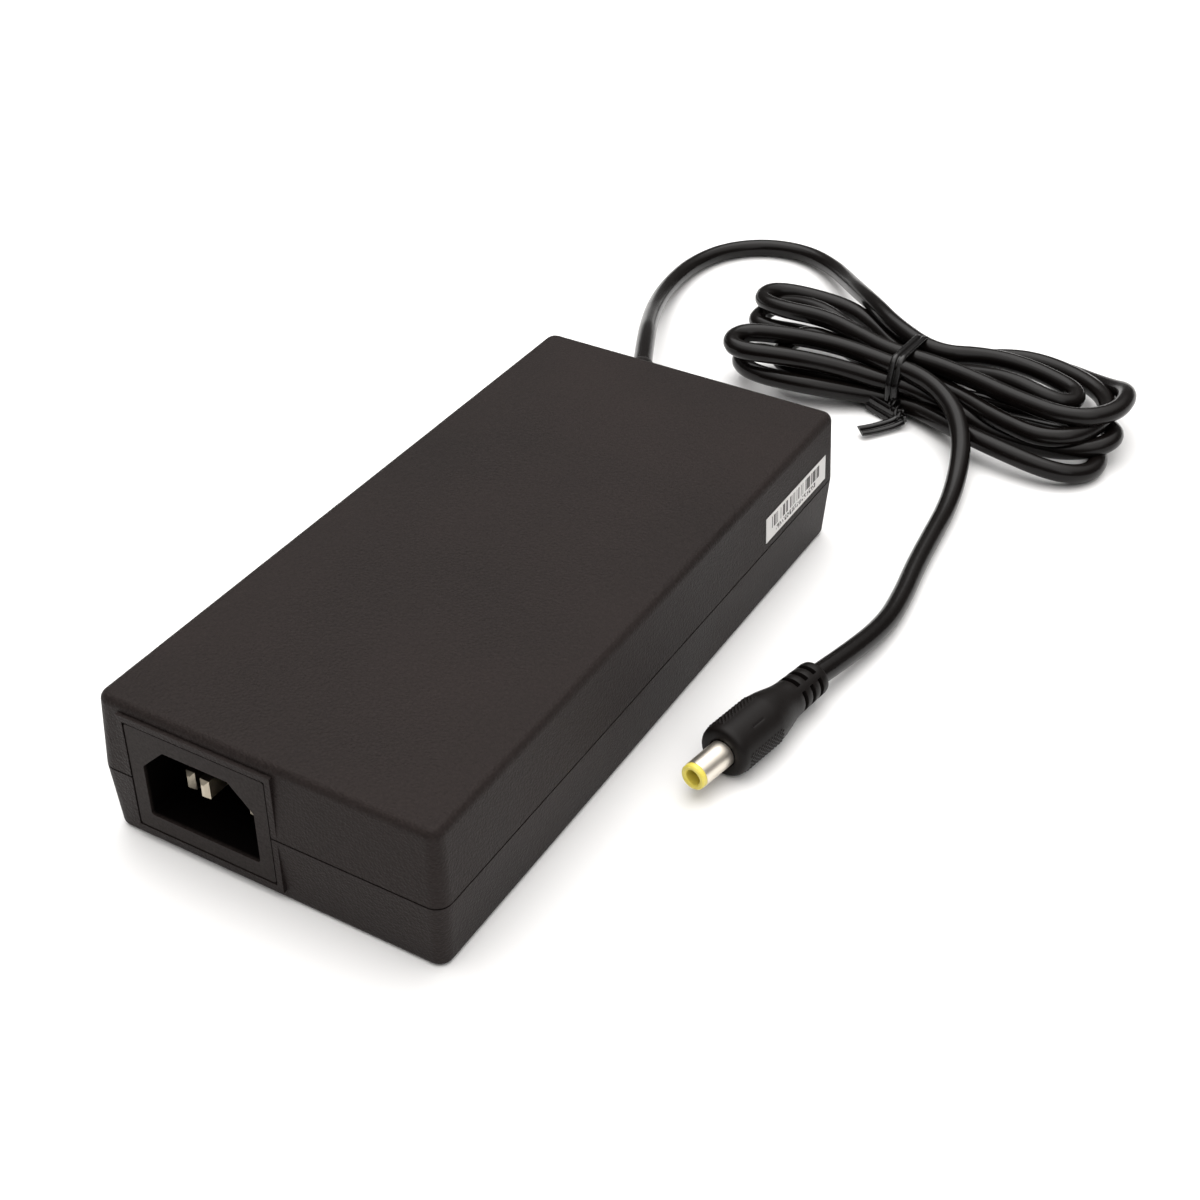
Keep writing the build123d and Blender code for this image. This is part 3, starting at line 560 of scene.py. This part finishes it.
def end_loop(side, leave, back, far_first, centre, half, heights, bulges):
    """Control points of one end loop of the hank, from one slot round its end to the other."""
    near_slot, far_slot = (back, leave) if far_first else (leave, back)
    reach = abs(centre[0] - TIE_X) - STRAND_START
    low_z, end_z, high_z = heights

    def strand(slot, way, height, bulge):
        y0, z0 = SLOTS[slot]
        y1 = centre[1] + way * half[1]
        points = []
        for along, share_y, share_z in ((0.34, 0.40, 0.55), (0.70, 0.82, 1.0)):
            y = y0 + (y1 - y0) * share_y + bulge * way
            x = TIE_X + side * (STRAND_START + along * reach)
            points.append((x, y, z0 + (height - z0) * share_z))
        return points

    far = strand(far_slot, 1, low_z, bulges[0])
    near = strand(near_slot, -1, high_z, bulges[1])
    bend = []
    swell = 1 / math.cos(math.radians(BEND_STEP / 2))
    steps = ((1.5, (low_z + end_z) / 2), (0.5, end_z), (-0.5, end_z), (-1.5, (high_z + end_z) / 2))
    for share, z in steps:
        angle = math.radians(share * BEND_STEP)
        x = centre[0] + side * half[0] * math.cos(angle) * swell
        bend.append((x, centre[1] + half[1] * math.sin(angle) * swell, z))
    points = far + bend + near[::-1]
    return points if far_first else points[::-1]


def lead_points():
    """Every control point of the lead in mm: free lead, the hank's turns, free tail, plug."""
    points = list(LEAD_ROUTE)
    for number, loop in enumerate(END_LOOPS):
        side, leave, back = loop[0], loop[1], loop[2]
        y, z = SLOTS[leave]
        points.append((TIE_X + side * PASS_HALF, y - (FIRST_PASS_SHIFT if number == 0 else 0.0), z))
        points.extend(end_loop(*loop))
        y, z = SLOTS[back]
        points.append((TIE_X + side * PASS_HALF, y, z))
    points.extend(TAIL_ROUTE)
    tip, direction = plug_axis()
    points.append(tuple(tip + direction * LEAD_END))
    return points


class ADAPTER_OT_cord(bpy.types.Operator):
    """Lays the low-voltage lead from the strain relief through the hank to the plug"""
    bl_idname = "adapter.cord"
    bl_label = "Lead"

    def execute(self, context):
        settings = context.scene.adapter_cord
        points = lead_points()
        curve = bpy.data.curves.new("low_voltage_lead", "CURVE")
        curve.dimensions = "3D"
        line = curve.splines.new("NURBS")
        line.points.add(len(points) - 1)
        for place, point in zip(points, line.points):
            point.co = (place[0] * MM, place[1] * MM, place[2] * MM, 1.0)
        line.order_u = 3
        line.use_endpoint_u = True
        line.resolution_u = 8
        curve.bevel_depth = settings.diameter / 2
        curve.bevel_resolution = 5
        curve.use_fill_caps = True
        lead = bpy.data.objects.new("low_voltage_lead", curve)
        context.scene.collection.objects.link(lead)
        # Plasticised PVC jacket, extruded: soft satin sheen with faint lengthways unevenness.
        paint(lead, finish(
            "extruded PVC jacket", settings.jacket, roughness=0.23, grain=1.6, depth=0.02, shine=0.2
        ))
        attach(lead, "root")
        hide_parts("cord_lead", "cord_hank", "cord_tail")
        return {"FINISHED"}


class ADAPTER_OT_strain_relief(bpy.types.Operator):
    """Moulds the tapering, slotted strain relief where the lead leaves the case"""
    bl_idname = "adapter.strain_relief"
    bl_label = "Strain relief"

    def execute(self, context):
        length = RELIEF_STRAIGHT + RELIEF_ARC
        stations = [(4.55, -2.0), (4.55, 0.0), (4.75, 0.3), (4.75, 2.6), (4.4, 3.0)]
        start = 3.8
        slots = []
        while start < length - 3.2:
            radius = 4.4 - 1.25 * (start - 3.0) / (length - 3.0)
            stations += [(radius, start), (radius - 0.05, start + 1.2)]
            slots.append((start, start + 1.2))
            start += 2.8
        stations += [(3.15, length - 0.9), (3.0, length - 0.3), (2.6, length), (2.25, length)]
        relief = turned("lead_strain_relief", stations, 40)

        def in_slot(centre, normal):
            angle = math.degrees(math.atan2(centre.y, centre.x))
            z = centre.z / MM
            if abs(normal.z) > 0.7:
                return False
            for number, (low, high) in enumerate(slots):
                if low < z < high:
                    return abs((angle + 90 * (number % 2) + 90) % 180 - 90) < 62
            return False

        select_faces(relief, in_slot)
        bpy.ops.mesh.inset(thickness=0.02 * MM, depth=-0.9 * MM, use_even_offset=True)
        bpy.ops.object.mode_set(mode="OBJECT")
        for vertex in relief.data.vertices:
            s = vertex.co.z / MM
            place, turn = relief_axis(max(s, 0.0))
            place = place + Vector((0, min(s, 0.0), 0))
            across = Vector((math.cos(turn), math.sin(turn), 0))
            vertex.co = (place + across * (vertex.co.x / MM) + Vector((0, 0, vertex.co.y / MM))) * MM
        edges = relief.modifiers.new("edges", "BEVEL")
        edges.width = 0.12 * MM
        edges.segments = 2
        edges.limit_method = "ANGLE"
        edges.angle_limit = math.radians(40)
        apply_modifiers(relief)
        bpy.ops.object.mode_set(mode="EDIT")
        bpy.ops.mesh.select_all(action="SELECT")
        bpy.ops.mesh.normals_make_consistent(inside=False)
        bpy.ops.object.mode_set(mode="OBJECT")
        smooth(relief, 30)
        # Injection-moulded PVC: duller than the extruded jacket, with a fine tool texture.
        grip = context.scene.adapter_plug.grip
        paint(relief, finish("moulded PVC relief", grip, roughness=0.45, grain=0.6, depth=0.02, shine=0.14))
        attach(relief, "root")
        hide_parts("cord_strain_relief")
        return {"FINISHED"}


# --- The plug ---------------------------------------------------------------------------------

GRIP_START = 9.2                # mm behind the tip
GRIP_SIDES = 72
GRIP_ROWS = 21
GRIP_PITCH = 0.5
PANEL_ANGLE = -60               # middle of one smooth panel, degrees about the plug's axis
PANEL_HALF = 45
RELIEF_SLOTS = (30.9, 33.6, 36.3)
SLOT_WIDTH = 1.05
SLOT_PHASE = 10.0               # turns the slots about the plug's axis, degrees


def around(angle, middle):
    """How far an angle is from the nearer of a middle and its opposite, in degrees."""
    return abs((angle - middle + 90) % 180 - 90)


class ADAPTER_OT_plug_grip(bpy.types.Operator):
    """Moulds the plug's grip: raised pips, two smooth panels and a slotted tail"""
    bl_idname = "adapter.plug_grip"
    bl_label = "Plug grip"

    def execute(self, context):
        settings = context.scene.adapter_plug
        radius = settings.grip_radius / MM
        first_row = GRIP_START + 1.9
        stations = [
            (3.1, GRIP_START + 0.7), (3.1, GRIP_START), (4.6, GRIP_START), (5.05, GRIP_START + 0.25),
            (5.3, GRIP_START + 0.7), (radius - 0.03, GRIP_START + 1.3),
        ]
        stations += [(radius, first_row + GRIP_PITCH * row) for row in range(GRIP_ROWS + 1)]
        stations += [(5.38, 22.3), (5.15, 23.9), (4.8, 25.5), (4.42, 27.0), (4.12, 28.4), (3.95, 29.6)]
        for start in RELIEF_SLOTS:
            tapered = 3.88 - 0.03 * (start - 30)
            stations += [(tapered, start), (tapered, start + SLOT_WIDTH)]
        stations += [(3.68, 38.5), (3.55, 39.1), (3.2, 39.45), (2.6, 39.5)]
        grip = turned("plug_grip", stations, GRIP_SIDES)

        last_row = first_row + GRIP_PITCH * GRIP_ROWS

        def pip(centre, normal):
            z = centre.z / MM
            angle = math.degrees(math.atan2(centre.y, centre.x))
            if not first_row < z < last_row or around(angle, PANEL_ANGLE) < PANEL_HALF:
                return False
            row = int((z - first_row) / GRIP_PITCH)
            column = int((angle + 180) / (360 / GRIP_SIDES))
            return (row + column) % 2 == 0

        def in_slot(centre, normal):
            z = centre.z / MM
            angle = math.degrees(math.atan2(centre.y, centre.x))
            between = any(start < z < start + SLOT_WIDTH for start in RELIEF_SLOTS)
            return between and abs((angle + SLOT_PHASE + 45) % 90 - 45) < 34

        def feel_line(centre, normal):
            angle = math.degrees(math.atan2(centre.y, centre.x))
            return 14.6 < centre.z / MM < 18.2 and around(angle, PANEL_ANGLE + 2.5) < 2

        select_faces(grip, feel_line)
        bpy.ops.mesh.inset(thickness=0.08 * MM, depth=-0.12 * MM, use_even_offset=True)
        select_faces(grip, pip)
        bpy.ops.mesh.inset(thickness=0.11 * MM, depth=settings.pip_height, use_individual=True)
        select_faces(grip, in_slot)
        bpy.ops.mesh.inset(thickness=0.02 * MM, depth=-1.15 * MM, use_even_offset=True)
        bpy.ops.object.mode_set(mode="OBJECT")
        edges = grip.modifiers.new("edges", "BEVEL")
        edges.width = 0.08 * MM
        edges.segments = 2
        edges.limit_method = "ANGLE"
        edges.angle_limit = math.radians(48)
        apply_modifiers(grip)
        tip, direction = plug_axis()
        side = direction.cross(Vector((0, 0, 1)))
        turn = Matrix((side, -Vector((0, 0, 1)), direction)).transposed().to_4x4()
        grip.matrix_world = Matrix.Translation(tip * MM) @ turn
        select_only(grip)
        bpy.ops.object.transform_apply(location=True, rotation=True, scale=True)
        smooth(grip, 32)
        # Injection-moulded PVC over the contacts: dull, with a fine even tool texture.
        paint(grip, finish(
            "moulded PVC grip", settings.grip, roughness=0.42, grain=0.5, depth=0.02, shine=0.14
        ))
        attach(grip, "root")
        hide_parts("plug_overmould")
        # Polished nickel plate on brass: warm grey, faint turning marks.
        nickel = finish(
            "nickel plated brass", linear("#E9E1D4"),
            roughness=0.36, metallic=1.0, grain=0.4, depth=0.004, drift=0.04,
        )
        for node in ("plug_barrel", "plug_inner_contact"):
            paint(frame["nodes"][node], nickel)
        # PBT moulded in a polished tool: opaque, waxy gloss.
        tip_plastic = finish("polished PBT", settings.tip, roughness=0.3, grain=1.0, depth=0.006, drift=0.05)
        paint(frame["nodes"]["plug_insulator"], tip_plastic)
        return {"FINISHED"}


# --- The tie ----------------------------------------------------------------------------------

def ridged_section(width, thickness):
    """Section of the tie: two rounded ridges over the wires with a thin web between."""
    half = width / 2
    outline = [(-1.0, 0.0), (-1.0, 0.5), (-0.8, 0.93), (-0.5, 1.0), (-0.22, 0.9), (-0.06, 0.35)]
    outline += [(-t, h) for t, h in reversed(outline)]
    return [(t * half, h * thickness) for t, h in outline]


def band_frames():
    """Frames of the band pulled tight round the passes, leaning to the right at the front."""
    frames = []
    steps = 96
    across = Vector((1, 0.15, 0)).normalized()
    for step in range(steps):
        angle = 2 * math.pi * step / steps
        out = Vector((0, math.cos(angle), math.sin(angle)))
        y, z = max(SLOTS.values(), key=lambda slot: slot[0] * out.y + slot[1] * out.z)
        centre = Vector((0, y, z)) + out * (CORD / 2 + 0.1)
        centre.x = TIE_X + 0.1 + 0.08 * (8 - centre.z) + 0.018 * max(0.0, centre.y - 142) ** 2
        frames.append((centre, across, out))
    return frames


def strip_frames(points, turns, radius=0.0, phase=0.0, lean=0.0):
    """Frames along a smooth run of points, turning about it, on a helix where radius is given."""
    points = [Vector(p) for p in points]
    steps = 12
    line = []
    for index in range(len(points) - 1):
        p0, p1, p2, p3 = (points[min(max(index + k, 0), len(points) - 1)] for k in (-1, 0, 1, 2))
        for step in range(steps + (index == len(points) - 2)):
            t = step / steps
            line.append(0.5 * (2 * p1 + (p2 - p0) * t + (2 * p0 - 5 * p1 + 4 * p2 - p3) * t * t
                               + (3 * p1 - p0 - 3 * p2 + p3) * t ** 3))
    frames = []
    for index, point in enumerate(line):
        ahead = line[min(index + 1, len(line) - 1)] - line[max(index - 1, 0)]
        ahead.normalize()
        level = Vector((0, 0, 1)).cross(ahead).normalized()
        up = ahead.cross(level)
        share = index / (len(line) - 1)
        angle = lean + phase + turns * 2 * math.pi * share
        across = level * math.cos(angle) + up * math.sin(angle)
        out = -level * math.sin(angle) + up * math.cos(angle)
        frames.append((point + out * radius, across, out))
    return frames


TWIST_PATH = [(29.6, 130.3, 4.4), (31.2, 128.8, 3.2), (33.4, 126.6, 2.1)]
TAIL_PATH = [(33.2, 127.0, 2.1), (31.6, 124.1, 1.7), (28.9, 120.2, 1.6), (26.6, 117.2, 1.8)]
WING_PATH = [(33.6, 127.4, 2.5), (31.4, 127.4, 2.3), (27.6, 128.6, 2.5), (23.2, 129.9, 2.9)]


class ADAPTER_OT_tie(bpy.types.Operator):
    """Wraps the two-ridged wire tie round the hank, twists its ends and lays them down"""
    bl_idname = "adapter.tie"
    bl_label = "Wire tie"

    def execute(self, context):
        settings = context.scene.adapter_tie
        width = settings.width / MM
        thickness = settings.thickness / MM
        band = swept("tie_band", ridged_section(width, thickness), band_frames(), True)
        flat = ridged_section(width * 0.95, thickness)
        thin = ridged_section(width * 0.8, thickness)
        twist = []
        for number in range(2):
            frames = strip_frames(TWIST_PATH, 0.8, radius=0.7, phase=math.pi * number)
            twist.append(swept(f"tie_twist_{number}", thin, frames, False))
        tail = swept("tie_tail", flat, strip_frames(TAIL_PATH, 0.03, lean=-0.5), False)
        broad = ridged_section(width * 1.2, thickness * 0.6)
        wing = swept("tie_wing", broad, strip_frames(WING_PATH, -0.03, lean=-1.15), False)
        tie = join([band, *twist, tail, wing], "wire_tie")
        smooth(tie, 50)
        # Wire core dipped in soft PVC: glossy ridges, slightly uneven skin.
        paint(tie, finish(
            "PVC coated wire tie", settings.plastic, roughness=0.2, grain=1.2, depth=0.03, shine=0.4
        ))
        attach(tie, "root")
        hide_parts("twist_tie")
        return {"FINISHED"}


# --- The case and what it holds -----------------------------------------------------------------

class ADAPTER_OT_case(bpy.types.Operator):
    """Finishes the shells, the inlet, its blades and the two labels"""
    bl_idname = "adapter.case"
    bl_label = "Case"

    def execute(self, context):
        nodes = frame["nodes"]
        abs_plastic = spark_eroded_abs(context.scene.adapter_case)
        for node in ("top_shell", "bottom_shell"):
            paint(nodes[node], abs_plastic)
        paint(nodes["inlet_housing"], glass_filled_nylon())
        # Tin-plated brass blades, drawn and polished: bright, slightly yellow.
        tin = finish(
            "tin plated brass", linear("#B5AC9B"),
            roughness=0.3, metallic=1.0, grain=0.5, depth=0.006, drift=0.05,
        )
        for node in ("inlet_live_blade", "inlet_neutral_blade", "inlet_earth_blade"):
            paint(nodes[node], tin)
        paint(nodes["barcode_label"], barcode_stock())
        paint(nodes["rating_label"], rating_film())
        return {"FINISHED"}


class ADAPTER_OT_electronics(bpy.types.Operator):
    """Finishes the circuit board, its components, the screens and the wires inside"""
    bl_idname = "adapter.electronics"
    bl_label = "Electronics"

    def execute(self, context):
        board = solder_masked_laminate()
        # Rolled sheet aluminium: soft grey metal with a fine rolling grain.
        sheet = finish(
            "rolled aluminium", linear("#B9BABC"),
            roughness=0.38, metallic=1.0, grain=0.8, depth=0.01, drift=0.05,
        )
        # Vulcanised fibre insulating sheet: buff, fibrous and matt.
        fibre = finish("vulcanised fibre", linear("#C9B98A"), roughness=0.7, grain=0.4, depth=0.04)
        # Silicone gap pad: soft, dull blue-grey.
        pad = finish("silicone gap pad", linear("#8C97A3"), roughness=0.75, grain=0.5, depth=0.05)
        # Sintered ferrite: almost black, slightly rough like unglazed tile.
        ferrite = finish("sintered ferrite", linear("#2B2B2D"), roughness=0.62, grain=0.4, depth=0.05)
        # Polypropylene capacitor case: smooth mid yellow.
        poly = finish("moulded polypropylene", linear("#D1A92F"), roughness=0.4, grain=0.8, depth=0.01)
        # Fluid-dipped epoxy: thick glossy skin, slightly uneven.
        blue = finish("dipped epoxy blue", linear("#274F9E"), roughness=0.2, grain=2.5, depth=0.2, coat=0.3)
        green = finish(
            "dipped epoxy green", linear("#1F5B36"), roughness=0.25, grain=2.5, depth=0.2, coat=0.3
        )
        # Phenolic former: hard, dark and semi-matt.
        former = finish("phenolic moulding", linear("#1D1B1C"), roughness=0.5, grain=0.6, depth=0.02)
        # Epoxy moulding compound on power packages: flat near-black.
        compound = finish("epoxy moulding compound", linear("#18181A"), roughness=0.58, grain=0.4, depth=0.03)
        # Heat-shrunk PET sleeve over an aluminium can: tight glossy film.
        sleeve = finish(
            "heat shrunk PET sleeve", linear("#1E2340"), roughness=0.22, grain=3.0, depth=0.08, coat=0.2
        )
        # Zinc-plated steel screws: bluish bright metal.
        zinc = finish(
            "zinc plated steel", linear("#A9ACB3"), roughness=0.3, metallic=1.0, grain=0.5, depth=0.01
        )
        # Fuse tube with plated caps: pale glassy body.
        glass = finish("fuse glass", linear("#C6CFCB"), roughness=0.12, grain=2.0, depth=0.01, coat=0.4)
        thick = enamelled_wire("enamelled copper coarse", "#B4622F", 1.1)
        thin = enamelled_wire("enamelled copper fine", "#C27A3C", 0.6)
        dressed = {
            board: ("circuit_board",),
            sheet: ("lower_heat_spreader", "upper_heat_spreader", "primary_heatsink", "secondary_heatsink"),
            fibre: ("lower_insulating_sheet", "upper_insulating_sheet"),
            pad: ("thermal_pads",),
            ferrite: ("line_choke_core", "pfc_choke_core", "transformer_core", "output_choke_core"),
            poly: ("x_capacitors", "film_capacitor"),
            blue: ("surge_varistor", "y_capacitors"),
            green: ("inrush_thermistor",),
            former: ("pfc_choke_bobbin", "transformer_bobbin"),
            compound: (
                "bridge_rectifier", "pfc_transistor", "pfc_diode", "main_transistors",
                "output_rectifiers", "optocouplers", "controller_chips",
            ),
            sleeve: ("bulk_capacitor", "output_capacitors"),
            zinc: ("device_screws",),
            glass: ("fuse",),
            thick: ("line_choke_windings", "output_choke_winding"),
            thin: ("pfc_choke_winding", "transformer_windings"),
        }
        wires = {
            "live": "#5B3320", "neutral": "#2A4E9B",
            "output_positive": "#9B1E1C", "output_negative": "#141414",
        }
        for use, colour in wires.items():
            # Extruded PVC hook-up wire: plain colour, satin.
            jacket = finish(f"hook-up wire {use}", linear(colour), roughness=0.4, grain=0.8, depth=0.01)
            dressed[jacket] = (f"{use}_wire",)
        for material, names in dressed.items():
            for name in names:
                paint(frame["nodes"][name], material)
        return {"FINISHED"}


# --- The lead's pieces, stage and camera --------------------------------------------------------

class ADAPTER_OT_declare_lead(bpy.types.Operator):
    """States the lead's real length and what is on it"""
    # Gathers the plug's pieces and the tie, which sit on the lead, and does nothing more with them.
    bl_idname = "adapter.declare_lead"
    bl_label = "Lead's facts"

    def execute(self, context):
        on_it = [bpy.data.objects["plug_grip"], bpy.data.objects["wire_tie"]]
        on_it += [frame["nodes"][name] for name in ("plug_barrel", "plug_insulator", "plug_inner_contact")]
        return {"FINISHED"}


class ADAPTER_OT_stage(bpy.types.Operator):
    """Sets the pale floor, the soft light and the camera"""
    bl_idname = "adapter.stage"
    bl_label = "Stage"

    def execute(self, context):
        settings = context.scene.adapter_stage
        select_only()
        bpy.ops.mesh.primitive_plane_add(size=6, location=(0, 0, 0))
        floor = fresh("floor")
        # Seamless paper roll: pale, dead matt.
        paper = finish(
            "seamless backdrop paper", settings.floor, roughness=0.9, grain=2.0, depth=0.0, drift=0.0
        )
        paint(floor, paper)

        world = bpy.data.worlds.new("soft surroundings")
        context.scene.world = world
        world.use_nodes = True
        tree = world.node_tree
        tree.nodes.clear()
        heading = add(tree, "ShaderNodeTexCoord").outputs["Generated"]
        height = add(tree, "ShaderNodeSeparateXYZ", inputs={0: heading})
        level = add(tree, "ShaderNodeMapRange", inputs={
            "Value": height.outputs["Z"], "From Min": 0.5, "From Max": 1.0,
            "To Min": settings.sky * 0.05, "To Max": settings.sky,
        })
        sky = add(tree, "ShaderNodeBackground", inputs={
            "Color": linear("#FFFDFB"), "Strength": level.outputs[0],
        })
        add(tree, "ShaderNodeOutputWorld", inputs={"Surface": sky.outputs[0]})

        lights = (
            ("key", (-0.35, 0.55, 1.1), (0.0, 0.05, 0.0), 1.1, settings.key_power),
            ("fill", (0.9, -0.5, 0.8), (0.02, 0.05, 0.0), 0.7, settings.key_power * 0.22),
        )
        for name, place, target, size, power in lights:
            data = bpy.data.lights.new(name, "AREA")
            data.size = size
            data.energy = power
            lamp = bpy.data.objects.new(name, data)
            lamp.location = place
            lamp.rotation_euler = (Vector(target) - Vector(place)).to_track_quat("-Z", "Y").to_euler()
            context.scene.collection.objects.link(lamp)

        turn, rise, roll = math.radians(29.869), math.radians(36.38), math.radians(0.347)
        back = Vector((math.sin(turn) * math.cos(rise), -math.cos(turn) * math.cos(rise), math.sin(rise)))
        right = Vector((math.cos(turn), math.sin(turn), 0))
        right = right * math.cos(roll) + back.cross(right) * math.sin(roll)
        lens = bpy.data.cameras.new("camera")
        lens.sensor_width = 36.0
        lens.lens = 55.567
        lens.clip_start = 0.01
        camera = bpy.data.objects.new("camera", lens)
        camera.matrix_world = Matrix.Translation(Vector((164.52, -249.01, 235.13)) * MM) @ Matrix(
            (right, back.cross(right), back)
        ).transposed().to_4x4()
        context.scene.collection.objects.link(camera)
        context.scene.camera = camera
        context.scene.view_settings.view_transform = "Standard"
        return {"FINISHED"}


class ADAPTER_PT_panel(bpy.types.Panel):
    """Lists the adapter's steps and settings"""
    bl_idname = "ADAPTER_PT_panel"
    bl_label = "Power adapter"
    bl_space_type = "VIEW_3D"
    bl_region_type = "UI"
    bl_category = "Adapter"

    def draw(self, context):
        for group, steps in STEPS.items():
            box = self.layout.box()
            settings = getattr(context.scene, group)
            for name in settings.__annotations__:
                box.prop(settings, name)
            for step in steps:
                box.operator(step.bl_idname)


GROUPS = {
    "adapter_case": CaseSettings,
    "adapter_cord": CordSettings,
    "adapter_plug": PlugSettings,
    "adapter_tie": TieSettings,
    "adapter_stage": StageSettings,
}
STEPS = {
    "adapter_case": (ADAPTER_OT_case, ADAPTER_OT_electronics),
    "adapter_cord": (ADAPTER_OT_cord,),
    "adapter_plug": (ADAPTER_OT_strain_relief, ADAPTER_OT_plug_grip),
    "adapter_tie": (ADAPTER_OT_tie, ADAPTER_OT_declare_lead),
    "adapter_stage": (ADAPTER_OT_stage,),
}
CLASSES = [*GROUPS.values(), *(step for steps in STEPS.values() for step in steps), ADAPTER_PT_panel]


def register():
    for made in CLASSES:
        bpy.utils.register_class(made)
    for name, group in GROUPS.items():
        setattr(bpy.types.Scene, name, bpy.props.PointerProperty(type=group))


def unregister():
    for name in GROUPS:
        delattr(bpy.types.Scene, name)
    for made in reversed(CLASSES):
        bpy.utils.unregister_class(made)


def main():
    register()
    for steps in STEPS.values():
        for step in steps:
            group, action = step.bl_idname.split(".")
            getattr(getattr(bpy.ops, group), action)()


if __name__ == "__main__":
    main()
